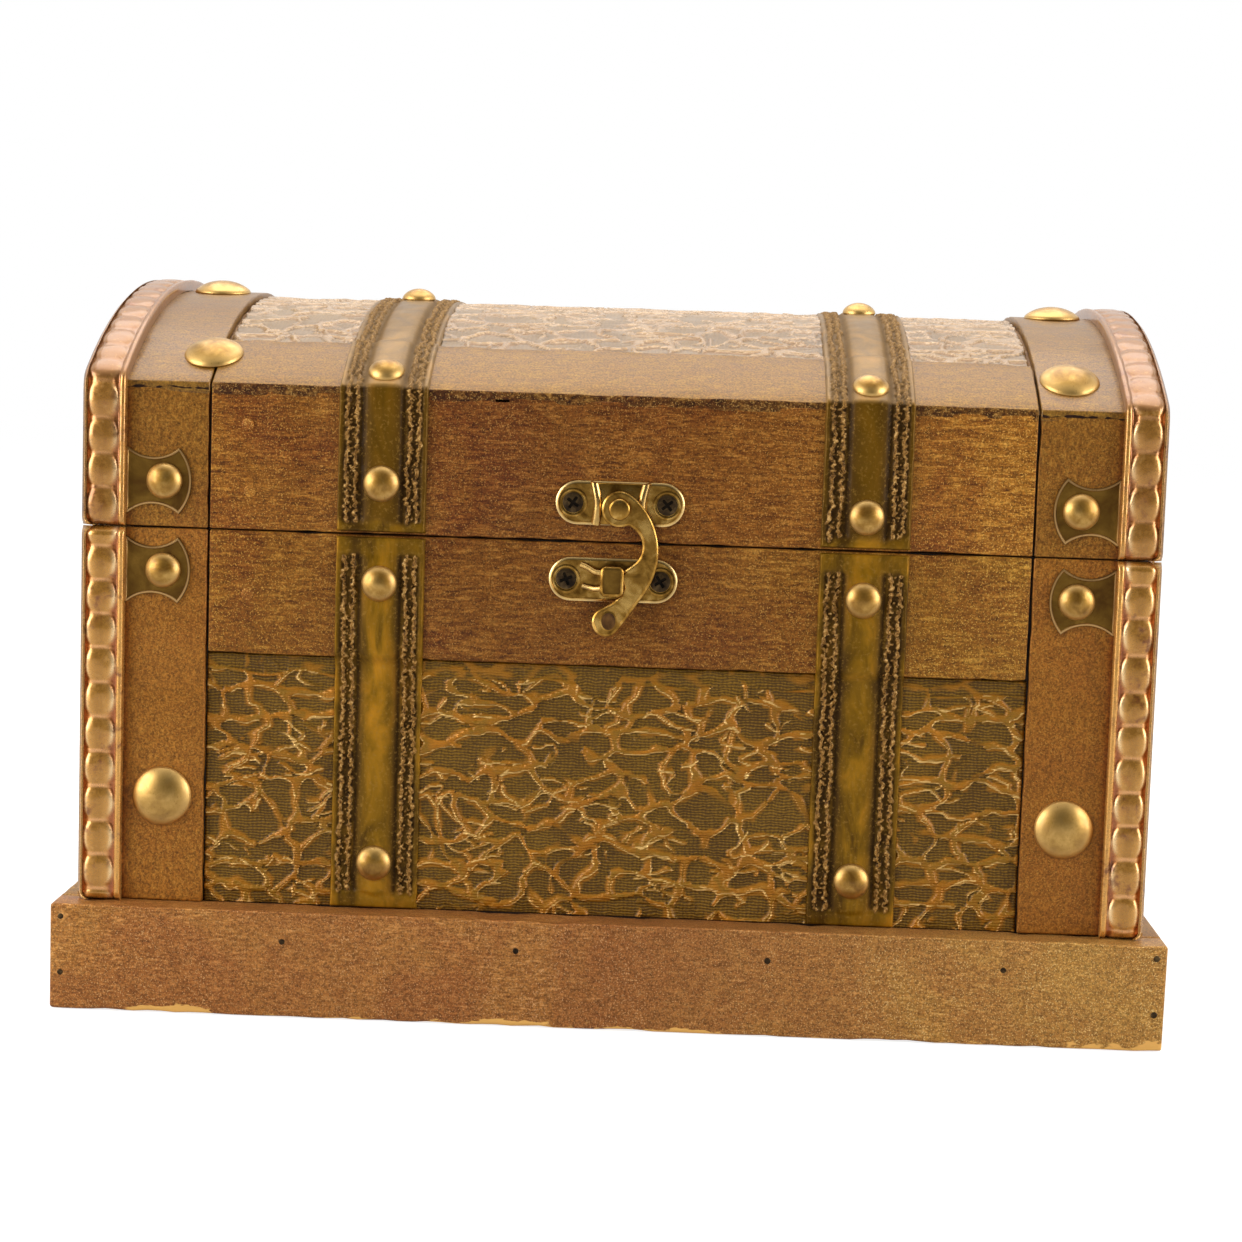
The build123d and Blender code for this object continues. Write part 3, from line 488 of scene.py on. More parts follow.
def crackled_vinyl(name, facing_up=False):
    """Olive canvas with a fine weave and raised glossy orange-gold veins with painted highlights on their
    borders; the lid's top gets a painted pale sheen.
    """
    finish = Finish(name, "textured_vinyl")
    vein, stain = finish.mark("vein"), finish.mark("stain")
    wobble = finish.noise(420.0, 2.0, 0.5)
    threads = []
    for way, pitch, share in (("across", 0.62, 0.77), ("along", 0.86, 0.23)):
        turned_by = finish.sum(finish.times(finish.mark(way), math.tau / pitch), finish.times(wobble, 10.0))
        wave = finish.node("ShaderNodeMath", {0: turned_by}, operation="SINE").outputs[0]
        threads.append(finish.times(finish.sum(finish.times(wave, 0.5), 0.5), share))
    weave = finish.sum(*threads)
    clouds = finish.noise(70.0, 4.0, 0.6)
    grime = finish.noise(2400.0, 3.0, 0.6)
    # The lid's top: paler colours with less contrast, a painted sheen from the light on it
    if facing_up:
        ground = finish.ramp(clouds, (0.34, (118, 86, 36)), (0.50, (132, 98, 46)), (0.68, (146, 112, 58)))
        low, high, flake, border_highlight = (106, 76, 34), (156, 120, 66), (146, 104, 50), (178, 140, 90)
        gold = finish.ramp(clouds, (0.30, (142, 102, 50)), (0.5, (154, 114, 60)), (0.7, (166, 128, 76)))
    else:
        ground = finish.ramp(clouds, (0.34, (90, 60, 5)), (0.50, (106, 74, 9)), (0.68, (121, 87, 14)))
        low, high, flake, border_highlight = (64, 40, 4), (144, 106, 24), (158, 102, 14), (222, 180, 106)
        gold = finish.ramp(clouds, (0.30, (128, 88, 18)), (0.44, (162, 102, 20)), (0.54, (138, 98, 24)),
                           (0.64, (178, 112, 24)), (0.74, (154, 114, 40)))
    cloth = finish.blend(weave, (0.12, 0.72), (0.5, 0.0), ground, low)
    cloth = finish.blend(weave, (0.62, 0.0), (0.95, 0.65), cloth, high)
    cloth = finish.blend(grime, (0.34, 0.7), (0.48, 0.0), cloth, low)
    stained = finish.blend(stain, (0.15, 0.0), (0.55, 0.9), cloth, flake)
    veined = finish.blend(vein, (0.3, 0.0), (0.8, 1.0), stained, gold)
    # Painted highlight: pale lines along the borders of the veins
    seen = finish.blend(finish.mark("lit"), (0.3, 0.0), (0.85, 0.95), veined, border_highlight)
    if facing_up:
        # Painted pale sheen, stronger towards the crown of the lid
        from_crown = finish.times(finish.sum(finish.mark("across"), 0.0, "ABSOLUTE"), 1 / CROWN_SHEEN_HALF)
        seen = finish.blend(from_crown, (0.25, 0.30), (0.80, 0.0), seen, (190, 164, 132))
    finish.level("Base Color", seen)
    finish.level("Metallic", finish.ramp(vein, (0.1, 0.2), (0.5, 0.28)))
    finish.level("Roughness", finish.ramp(vein, (0.1, 0.62), (0.6, 0.30)))
    finish.gloss(0.85 if facing_up else 0.12, 0.34 if facing_up else 0.2, 0.25)
    finish.bump(weave, 0.18, 0.9)
    finish.bump(grime, 0.06, 0.6)
    return finish.material


def stitched_strap(name):
    """Olive-gold leathercloth: crowned middle, painted shade in its grooves and stitch holes, rough beige
    thread and a gold edge.
    """
    finish = Finish(name)
    crown, thread = finish.mark("crown"), finish.mark("thread")
    smear = finish.noise((160.0, 160.0, 60.0), 4.0, 0.6, 0.6)
    fine = finish.noise(1500.0, 3.0, 0.6)
    gold = finish.ramp(smear, (0.36, (80, 54, 6)), (0.48, (118, 84, 11)), (0.58, (148, 104, 18)),
                       (0.70, (176, 120, 24)))
    # Painted shade on the lid's front
    gold = finish.mix(finish.times(finish.mark("front_shade"), 0.75), gold, (90, 61, 8))
    # Painted shade down into the grooves and over the stitched bands
    hide = finish.blend(crown, (0.0, 0.95), (0.30, 0.62), (0.60, 0.34), (0.95, 0.0), gold, (52, 33, 7))
    hide = finish.blend(fine, (0.55, 0.0), (0.70, 0.5), hide, (150, 112, 46))
    # Painted shade in the stitch holes and between the lines of stitches
    dark = finish.blend(finish.mark("gap"), (0.05, 0.0), (0.5, 0.5), (1.0, 0.92), hide, (52, 32, 10))
    yarn = finish.ramp(fine, (0.34, (76, 48, 16)), (0.46, (126, 88, 38)), (0.56, (154, 112, 54)),
                       (0.68, (206, 164, 100)))
    sewn = finish.blend(thread, (0.2, 0.0), (0.55, 1.0), dark, yarn)
    # Painted pale reflection where the strap faces up
    finish.level("Base Color", finish.mix(finish.times(finish.mark("facing_up"), 0.55), sewn, (150, 120, 82)))
    finish.level("Metallic", finish.ramp(thread, (0.1, 0.35), (0.4, 0.0)))
    finish.level("Roughness", finish.ramp(crown, (0.1, 0.8), (0.5, 0.45), (0.9, 0.33)))
    finish.gloss(0.04, 0.15, 0.1)
    finish.bump(fine, 0.06, 0.5)
    return finish.material


def embossed_gold(name):
    """Gold foil trim: reddish in its hollows, with painted highlights on the shoulders of its bosses."""
    finish = Finish(name)
    blots = finish.noise(95.0, 4.0, 0.6, 0.5)
    fine = finish.noise(1200.0, 3.0, 0.6)
    dirt = finish.noise(520.0, 3.0, 0.6)
    facing_up = finish.mark("facing_up")
    colour = finish.ramp(finish.mark("relief"), (0.0, (164, 90, 38)), (0.3, (190, 122, 54)),
                         (0.6, (208, 152, 76)), (1.0, (200, 144, 64)))
    olive = finish.blend(finish.mark("centre"), (0.15, 0.9), (0.75, 0.0), colour, (162, 112, 40))
    pink = finish.mix(finish.times(finish.mark("crest"), 0.7), olive, (228, 166, 108))
    # Painted highlight on the shoulders of the bosses
    pink = finish.mix(finish.times(finish.mark("painted_light"), 0.85), pink, (246, 214, 160))
    dulled = finish.blend(blots, (0.52, 0.0), (0.70, 0.5), pink, (160, 100, 42))
    dulled = finish.blend(facing_up, (0.0, 0.0), (0.10, 0.75), (0.4, 0.85), dulled, (136, 92, 54))
    stained = finish.blend(blots, (0.28, 0.6), (0.38, 0.0), dulled, (146, 70, 34))
    dirty = finish.ramp(dirt, (0.50, 0.0), (0.62, 0.8))
    dirty = finish.times(dirty, finish.ramp(blots, (0.5, 0.0), (0.6, 1.0)))
    stained = finish.mix(dirty, stained, (112, 60, 26))
    # Darker and duller on the lid's legs
    on_lid = finish.sum(finish.axis("Z"), LID_Z * MM, "GREATER_THAN")
    stained = finish.mix(finish.times(on_lid, 0.34), stained, (148, 98, 42))
    finish.level("Base Color", finish.blend(fine, (0.58, 0.0), (0.72, 0.3), stained, (226, 176, 108)))
    finish.level("Metallic", 0.6)
    shine = finish.ramp(fine, (0.3, 0.22), (0.7, 0.34))
    finish.level("Roughness", finish.sum(shine, finish.times(facing_up, 0.4)))
    finish.gloss(0.5, 0.12)
    finish.bump(fine, 0.04, 0.4)
    return finish.material


textured_vinyl = crackled_vinyl("textured_vinyl")
top_sheen_vinyl = crackled_vinyl("top_sheen_vinyl", True)
strap_vinyl = stitched_strap("strap_vinyl")
gold_trim = embossed_gold("gold_trim")

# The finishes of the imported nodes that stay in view, by their record slot
by_slot = {SLOTS[material.name]: material for material in (
    shaded_side_wood, carcass_wood, textured_vinyl, strap_vinyl, gold_trim, brass, dark_brass, antique_brass,
    dark_steel)}
PAINTED_WALLS = ("body_left_wall", "body_right_wall", "lid_left_end", "lid_right_end")
for part in frame["record"]["subparts"]:
    node = frame["nodes"][part["node"]]
    node.data.materials.clear()
    painted = part["node"] in PAINTED_WALLS
    node.data.materials.append(shaded_side_wood if painted else by_slot[part["material_slot"]])


# Wooden boards
CUT_PITCH = 3.0
WEAR_DEPTH = 0.45
SLOPE_EDGE_Y = 54.0
UNDER_ARCH = (-2.2, 0.0)
FIELD = (-FIELD_X, FIELD_X)


def board(name, x, y, z, body, material, *nodes, edge=0.45, arched=False):
    """A bevelled board between its limits along X, Y and Z, with worn edges; an arched one is bent."""
    low, high = (Vector(corner) * MM for corner in zip(x, y, z))
    size, middle = high - low, (high + low) / 2
    piece = cuboid(name, size, middle, edge)
    longest = max(range(3), key=lambda axis: size[axis])
    for axis in sorted({longest, 1} if arched else {longest}):
        cuts = int(size[axis] / (CUT_PITCH * MM))
        for cut in range(1, cuts):
            point = list(middle)
            point[axis] = low[axis] + size[axis] * cut / cuts
            bpy.ops.mesh.select_all(action="SELECT")
            bpy.ops.mesh.bisect(plane_co=point, plane_no=[float(each == axis) for each in range(3)])
    rest()
    wear(piece, low, high, edge * MM)
    if arched:
        for vertex in piece.data.vertices:
            reach = ARCH_RADIUS * MM + vertex.co.z
            vertex.co.z = ARCH_Z * MM + math.sqrt(reach ** 2 - vertex.co.y ** 2)
    return dress(smooth(piece), material, body, *nodes)


def wear(piece, low, high, edge):
    """Chip the edges of a board a little, more in some places than in others."""
    for vertex in piece.data.vertices:
        near = [axis for axis in range(3)
                if min(vertex.co[axis] - low[axis], high[axis] - vertex.co[axis]) < 1.1 * edge]
        if len(near) > 1:
            chip = max(0.0, noise.noise(vertex.co * 160.0) + 0.35 * noise.noise(vertex.co * 700.0))
            for axis in near:
                inward = 1 if vertex.co[axis] - low[axis] < high[axis] - vertex.co[axis] else -1
                vertex.co[axis] += inward * chip * WEAR_DEPTH * MM


def darken_end(piece, test, material):
    """Give the faces that pass a test a second material."""
    piece.data.materials.append(material)
    for face in piece.data.polygons:
        if test(face.center / MM, face.normal):
            face.material_index = 1


for end, side in ENDS:
    depth = span(end, BOARD_BACK_Y, FACE_Y)
    board(f"plinth_{side}", (-PLINTH_X, PLINTH_X), span(end, BOARD_BACK_Y, PLINTH_Y), (0.0, PLINTH_Z),
          "chest_body", plinth_wood, f"plinth_{side}_board", edge=0.7)
    board(f"{side}_rail", FIELD, depth, (RAIL_Z, SEAM_Z), "chest_body", rail_wood, f"body_{side}_rail")
    board(f"lid_{side}_facing", FIELD, depth, (LID_Z, FACING_TOP_Z), "lid", lid_wood,
          f"lid_{side}_board", edge=0.3)
    strip = board(f"lid_{side}_slope", FIELD, span(end, SLOPE_EDGE_Y, FACE_Y), UNDER_ARCH, "lid",
                  slope_wood, f"lid_{side}_slope_strip", edge=0.35, arched=True)
    darken_end(strip, lambda middle, normal: abs(normal.y) > 0.75 and abs(middle.y) > FACE_Y - 0.5, end_grain)
    for hand, x in HANDS:
        board(f"{side}_{x}_corner", span(hand, CORNER_X, SIDE_X), depth, (PLINTH_Z, SEAM_Z), "chest_body",
              corner_wood, f"body_{side}_{x}_corner_board")

lid_corners = [board("lid_corner", span(hand, CORNER_X, SIDE_X), span(end, BOARD_BACK_Y, FACE_Y),
                     (LID_Z, FACING_TOP_Z), None, lid_corner_wood, edge=0.3)
               for end in SIDES for hand in SIDES]
dress(joined(lid_corners, "lid_corners"), lid_corner_wood, "lid", "lid_corner_boards")

for hand, side in HANDS:
    board(f"plinth_{side}", span(hand, SIDE_X, PLINTH_X), (-BOARD_BACK_Y, BOARD_BACK_Y), (0.0, PLINTH_Z),
          "chest_body", plinth_side_wood, f"plinth_{side}_board", edge=0.7)
    board(f"{side}_band", span(hand, CORNER_X, SIDE_X), (-FACE_Y, FACE_Y), UNDER_ARCH, "lid", band_wood,
          f"lid_{side}_arch_band", edge=0.35, arched=True)


# Fine sheets shaped point by point: embossed trims, stitched straps and crackled skins
def fine_sheet(name, columns, rows, place):
    """A fine grid put in place by a function of two shares, which also gives its marks."""
    rest()
    bpy.ops.mesh.primitive_grid_add(x_subdivisions=columns, y_subdivisions=rows, size=1.0)
    piece = settle(name)
    flat = np.empty(3 * len(piece.data.vertices))
    piece.data.vertices.foreach_get("co", flat)
    points, marks = place(flat[0::3] + 0.5, flat[1::3] + 0.5)
    piece.data.vertices.foreach_set("co", (points * MM).ravel())
    for key, values in marks.items():
        layer = piece.data.attributes.new(key, "FLOAT", "POINT")
        layer.data.foreach_set("value", np.ascontiguousarray(values, dtype=np.float32))
    piece.data.update()
    centre = Vector((0.0, 0.0, 80.0)) * MM
    if sum((face.center - centre).dot(face.normal) for face in piece.data.polygons) < 0:
        piece.data.flip_normals()
    for face in piece.data.polygons:
        face.use_smooth = True
    return piece


def on_edge(u, v, columns, rows):
    """Which points lie on the outer edge of their sheet."""
    return np.minimum(np.minimum(u, 1 - u) * columns, np.minimum(v, 1 - v) * rows) < 0.5


def ripple(points, seed, length, waves=24):
    """A smooth random field over points in millimetres, between about -1 and 1."""
    source = np.random.default_rng(seed)
    total = np.zeros(len(points[0]))
    for _ in range(waves):
        heading = source.uniform(0.0, math.tau)
        pace = math.tau / (length * source.uniform(0.6, 1.8))
        phase = source.uniform(0.0, math.tau)
        total += np.sin(pace * (math.cos(heading) * points[0] + math.sin(heading) * points[1]) + phase)
    return total / math.sqrt(waves / 2) / 1.6


def rounded(points, passes):
    """Ease the corners of a dense line of points."""
    points = np.array(points, dtype=float)
    for _ in range(passes):
        points[1:-1] = 0.5 * points[1:-1] + 0.25 * (points[:-2] + points[2:])
    return points


def length_of(line):
    """Length of a line of points."""
    return np.hypot(*np.diff(line, axis=0).T).sum()


def walked(points, shares):
    """Places, directions and distance along a line of points at these shares of its length."""
    steps = np.hypot(*np.diff(points, axis=0).T)
    reached = np.concatenate(([0.0], np.cumsum(steps)))
    at = shares * reached[-1]
    y, z = (np.interp(at, reached, points[:, axis]) for axis in (0, 1))
    slope = np.gradient(points, reached, axis=0)
    dy, dz = (np.interp(at, reached, slope[:, axis]) for axis in (0, 1))
    size = np.hypot(dy, dz)
    return y, z, -dz / size, dy / size, at


def table(*rows):
    """Two lists from rows of two numbers."""
    return [list(column) for column in zip(*rows)]


# Straps with a crowned middle and a chain of stitches along each side
STRAP_LOW_Y = 72.3
STRAP_STEP = 1.6
STRAP_TOP_Z = 103.61
STRAP_BEND_Z = 75.6
STRAP_BEND = 2.6
STRAP_COLUMNS = 74
STRAP_PITCH = 0.34
STRAP_SIDES_AT = 8.8
BODY_STRAP_BARE = (3.4, 4.0)
LID_STRAP_BARE = (2.0, 2.0)
LID_STRAP_Y = 73.9
LID_STRAP_Z = 104.7
LID_STRAP_DIP_Y = 55.2
LID_STRAP_DIP = 2.4
STITCH = 1.7
STITCHES_AT = 6.6
# From the middle of a strap to its edge, in millimetres: its height, how crowned it is, and a bare end
STRAP_PROFILE = table((0.0, 1.40), (2.4, 1.34), (3.5, 1.10), (4.0, 0.72), (4.6, 0.46), (5.2, 0.60),
                      (8.1, 0.60), (8.5, 0.78), (9.1, 0.92), (9.5, 0.70))
STRAP_CROWN = table((0.0, 1.0), (1.4, 0.9), (2.6, 0.66), (3.4, 0.36), (4.0, 0.1), (4.4, 0.0),
                    (5.0, 0.30), (8.3, 0.30), (8.8, 0.7), (9.5, 0.8))
BARE_CROWN = table((0.0, 0.95), (5.0, 0.55), (9.5, 0.85))


def strap_height(across, along, sewn, seed):
    """Height of a strap over its underside, and where its thread, gaps and crown are."""
    def wave(number, length, lane):
        return ripple((along, lane), seed + number, length)

    away, side = np.abs(across), np.sign(across)
    # Where it isn't sewn, at its ends, a strap is pressed flat
    pressed = np.minimum(1.1, 0.7 + (9.5 - away) * 0.8)
    shape = np.interp(away, *STRAP_PROFILE) * sewn + pressed * (1.0 - sewn)
    shape += 0.05 * wave(2, 7.0, across)
    middle = STITCHES_AT + 0.16 * wave(0, 9.0, 40.0 * side)
    thread = np.zeros(len(across))
    for line, reach in ((0, -1.0), (1, 1.0)):
        lane = 60.0 * side + 17.0 * line
        place = middle + reach * (1.0 + 0.22 * wave(6, 4.0, lane))
        place = place + 0.26 * wave(1, 1.3, lane)
        stitch = np.abs(np.sin(math.pi * along / STITCH + 1.3 * wave(3, 6.0, lane)))
        thick = 0.24 + 0.26 * stitch + 0.12 * wave(7, 1.1, lane)
        thread = np.maximum(thread, 1.0 - (away - place) ** 2 / thick ** 2)
    # Loose ends and cross stitches between and beside the two lines
    fray = ripple((1.7 * along, across), seed + 4, 1.15)
    loose = np.clip(2.6 * fray - 1.5, 0.0, 1.0) * np.clip(1.9 - np.abs(away - middle), 0.0, 1.0)
    lines = np.sqrt(np.clip(thread, 0.0, 1.0)) * np.clip(1.0 + 0.5 * fray, 0.0, 1.0)
    thread = np.clip(np.maximum(lines, 0.85 * loose), 0.0, 1.0) * (sewn > 0.5)
    height = np.maximum(shape, 0.55 + 0.80 * thread - 0.3 * (thread <= 0.05))
    holes = np.clip(1.5 - np.abs(np.abs(away - middle) - 1.0) / 0.5, 0.0, 1.0)
    gap = np.maximum(holes, 0.45 * np.clip(1.25 - np.abs(away - middle) / 0.8, 0.0, 1.0)) * (thread < 0.3)
    gap = gap * np.clip(0.75 + 0.6 * wave(8, 3.0, 5.0 * side), 0.2, 1.0) * sewn
    crown = np.interp(away, *STRAP_CROWN) * sewn + np.interp(away, *BARE_CROWN) * (1.0 - sewn)
    return height - 0.26 * gap, {"thread": thread, "gap": gap, "crown": crown}


def strap(name, x, line, bare, seed, body, node):
    """One strap along a line in the YZ plane, its underside on what it covers, its ends unsewn."""
    line = rounded(line, 22)
    length = length_of(line)
    columns, rows = STRAP_COLUMNS, int(length / STRAP_PITCH)

    def place(u, v):
        y, z, out_y, out_z, along = walked(line, v)
        across = (u - 0.5) * STRAP_WIDTH
        inside = np.minimum(along - bare[0], length - bare[1] - along)
        sewn = np.clip((inside + 0.5 * ripple((across, along), seed + 9, 5.0)) / 1.2 + 0.5, 0.0, 1.0)
        height, marks = strap_height(across, along, sewn, seed)
        rim = on_edge(u, v, columns, rows)
        ragged = 0.10 * ripple((along, 30 * np.sign(across)), seed + 5, 6.0)
        ragged = ragged * (np.abs(across) > STRAP_SIDES_AT)
        edge_x = across + np.where(rim, 0.0, ragged)
        # Painted shade on the lid's front, a painted pale reflection where the strap faces up
        marks["facing_up"] = np.interp(out_z, [0.2, 0.8], [0.0, 1.0])
        marks["front_shade"] = (z > LID_Z) * (1.0 - marks["facing_up"]) * sewn
        lift = np.where(rim, 0.0, height) - STRAP_THICK
        return np.stack((x + edge_x, y + out_y * lift, z + out_z * lift), 1), marks

    dress(fine_sheet(name, columns, rows, place), strap_vinyl, body, node)


def over_lid():
    """The way of a strap up the front of the lid, over its arch and down the back."""
    top = ARCH_Z + math.sqrt(STRAP_RADIUS ** 2 - LID_STRAP_Y ** 2)
    front = [(-LID_STRAP_Y, z) for z in np.arange(LID_STRAP_Z, top, 0.25)]
    way = []
    for y in np.arange(-LID_STRAP_Y, LID_STRAP_Y + 0.01, 0.25):
        # On the skin it lies lower than on the strips at the front and the back
        share = float(np.clip((LID_STRAP_DIP_Y - abs(y)) / LID_STRAP_DIP, 0.0, 1.0))
        reach = STRAP_RADIUS + (LOW_STRAP_RADIUS - STRAP_RADIUS) * share ** 2 * (3 - 2 * share)
        way.append((y, ARCH_Z + math.sqrt(reach ** 2 - y ** 2)))
    return front + way + [(-y, z) for y, z in reversed(front)]


for number, (x, side) in enumerate(zip(STRAP_X, ("left", "right"))):
    for end, way in ENDS:
        # Up the skin and out over the rail; the line of a back strap runs down
        line = []
        for z in np.arange(PLINTH_Z, STRAP_TOP_Z, 0.2):
            risen = min(1.0, max(0.0, (z - STRAP_BEND_Z) / STRAP_BEND)) ** 1.5
            line.append((end * (STRAP_LOW_Y + STRAP_STEP * risen), z))
        strap(f"{way}_{side}_strap", x, line[::-end], BODY_STRAP_BARE[::-end], 10 * number + end + 3,
              "chest_body", f"body_{way}_{side}_strap")
    strap(f"lid_{side}_strap_seen", x, over_lid(), LID_STRAP_BARE, 50 + number, "lid", f"lid_{side}_strap")


# Edge trims with a chain of barrel-shaped bosses on both legs
TRIM_ACROSS = np.array([0.0, 0.0, 0.0, 0.25, 0.6, 1.0, 1.25, 1.45, 1.7, 2.0, 2.35, 2.7, 3.1, 3.6, 4.2,
                        4.9, 5.6, 6.2, 6.7, 7.1, 7.5, 7.85, 8.2, 8.55, 8.9, 9.25])
TRIM_DEPTH = np.array([2.5, 1.5, 0.55] + [0.0] * 17 + [0.04, 0.13, 0.3, 0.52, 0.78, 1.0])
TRIM_THICK = 2.5
TRIM_PITCH = 0.4
BOSS_LENGTH = 7.4
BOSS_MIDDLE = 4.95


def boss(across, along, seed):
    """Height of the embossing from 0 to 1, and where its crests and its painted highlights are."""
    cell = along / BOSS_LENGTH + 0.02 * seed + 0.06 * ripple((along, 3.0), seed, 30.0)
    part = cell - np.round(cell)
    half = 1.9 + 1.65 * np.cos(math.pi * part) ** 0.75
    off = np.abs(across - BOSS_MIDDLE) / half
    barrel = np.clip(1.0 - off ** 2.6, 0.0, 1.0) ** 0.62
    swell = 0.45 + 0.55 * np.cos(math.pi * part) ** 0.5
    to_waist = BOSS_LENGTH / 2 - np.abs(part) * BOSS_LENGTH
    crest = np.clip(1.25 - (to_waist / 0.42) ** 2, 0.0, 1.0) * np.clip(1.6 - off ** 2, 0.0, 1.0)
    rim = np.sqrt(np.clip(1.0 - ((across - 0.62) / 0.72) ** 4, 0.0, 1.0)) * 0.9
    corner = 0.62 * np.interp(across, [8.1, 8.9], [0.0, 1.0])
    relief = np.maximum(np.maximum(np.maximum(barrel * swell, 0.66 * crest), rim), corner)
    # Painted highlight: bright crescents along the shoulders of each boss
    painted_light = np.exp(-(((off - 0.84) / 0.13) ** 2)) * np.clip(1.5 - 3.6 * np.abs(part), 0.0, 1.0)
    return relief * (1.0 + 0.06 * ripple((along, across), seed + 1, 4.0)), crest * (off < 1.2), painted_light


def trim(name, hand, outer, inner, seed, body, node):
    """One trim: outer and inner are the lines of its outer corner and of its far edge on the side."""
    outer, inner = rounded(outer, 70), rounded(inner, 30)
    half = len(TRIM_ACROSS)
    columns, rows = 2 * half - 1, int(length_of(outer) / TRIM_PITCH)

    def place(u, v):
        y, z, _, out_z, along = walked(outer, v)
        far_y, far_z, *_ = walked(inner, v)
        column = np.rint(u * columns).astype(int)
        on_side = column >= half
        index = np.where(on_side, columns - column, column)
        across, depth = TRIM_ACROSS[index], TRIM_DEPTH[index]
        relief, crest, painted_light = boss(across, along, seed)
        # The foil is pressed less deeply where it runs over the arch
        pressed = np.interp(out_z, [0.3, 0.8], [1.0, 0.6])
        relief = 1.0 - (1.0 - np.clip(relief, 0.0, 1.0)) * pressed
        sink = np.where(index > 2, 0.95 * (1.0 - relief), 0.0)
        ends = np.minimum(v * rows, (1 - v) * rows)
        sink = sink + np.interp(ends, [0.0, 1.0, 2.0, 4.0], [2.2, 0.9, 0.35, 0.0]) * (index > 2)
        depth = np.minimum(depth + sink, TRIM_THICK)
        across_x = np.where(on_side, TRIM_X - depth, TRIM_X - TRIM_LEG + across)
        share = np.where(on_side, TRIM_LEG - across, depth) / TRIM_LEG
        points = np.stack((hand * across_x, y + (far_y - y) * share, z + (far_z - z) * share), 1)
        centre = np.maximum(np.abs(across - BOSS_MIDDLE) / 3.6, 1.4 * (1.0 - pressed))
        return points, {"relief": relief, "crest": crest, "painted_light": painted_light * pressed,
                        "facing_up": 1.0 - pressed, "centre": centre}

    dress(fine_sheet(name, columns, rows, place), gold_trim, body, node)


def lid_corner_line(depth):
    """A line of the trim over the lid, with the same share of points on each straight and arc."""
    face_y, radius = TRIM_Y - depth, TRIM_RADIUS - depth
    top = ARCH_Z + math.sqrt(radius ** 2 - face_y ** 2)
    front = [(-face_y, z) for z in np.linspace(LID_Z, top, 120)[:-1]]
    over = [(y, ARCH_Z + math.sqrt(radius ** 2 - y ** 2)) for y in np.linspace(-face_y, face_y, 560)]
    return front + over + [(-y, z) for y, z in reversed(front)]


for hand, side in HANDS:
    for end, way in ENDS:
        heights = np.arange(PLINTH_Z, SEAM_Z + 0.01, 0.25)
        lines = ([(end * (TRIM_Y - depth), z) for z in heights] for depth in (0.0, TRIM_LEG))
        trim(f"{way}_{side}_trim", hand, *lines, 3 * hand + end + 9, "chest_body", f"body_{way}_{side}_trim")
    trim(f"lid_{side}_trim_seen", hand, lid_corner_line(0.0), lid_corner_line(TRIM_LEG), 20 + hand, "lid",
         f"lid_{side}_trim")


# Crackled skins
FRONT_SKIN_Y = 70.9
SIDE_SKIN_X = 111.2
LID_END_RADIUS = 116.85
LID_END_HEIGHT = 26.0
SKIN_HALF = 87.9
SIDE_SKIN_HALF = 45.7
LID_SKIN_HALF = 53.9
SKIN_TOP_Z = 77.55
SIDE_SKIN_TOP_Z = 77.5
HEM_Z = 73.6
UNDER_STRAP = 8.7
NORM = 1.3


def nearest_cells(bent, step_x, step_y, flat, spots):
    """Distances, names and slopes of the three nearest cell centres at each place."""
    column, row = np.floor(bent[0] / step_x), np.floor(bent[1] / step_y)
    best = np.full((3, len(column)), 1e9)
    names = np.zeros((3, len(column)), dtype=int)
    slopes = np.zeros((3, 2, len(column)))
    for across in range(-2, 3):
        for up in range(-2, 3):
            c, r = (column + across).astype(int), (row + up).astype(int)
            spot = spots[c % 97, r % 89]
            x = (bent[0] - (c + 0.08 + 0.84 * spot[:, 0]) * step_x) / flat
            y = bent[1] - (r + 0.08 + 0.84 * spot[:, 1]) * step_y
            # Nearly square cells: a norm between that of a circle and that of a diamond
            gap = (np.abs(x) ** NORM + np.abs(y) ** NORM) ** (1 / NORM)
            slope = np.stack((np.sign(x) * (np.abs(x) / gap) ** 0.3 / flat,
                              np.sign(y) * (np.abs(y) / gap) ** 0.3))
            tag = (c % 97) * 89 + r % 89
            for rank in range(3):
                nearer = gap < best[rank]
                gap, best[rank] = np.where(nearer, best[rank], gap), np.where(nearer, gap, best[rank])
                tag, names[rank] = np.where(nearer, names[rank], tag), np.where(nearer, tag, names[rank])
                slope, slopes[rank] = (np.where(nearer, slopes[rank], slope),
                                       np.where(nearer, slope, slopes[rank]))
    return best, names, slopes


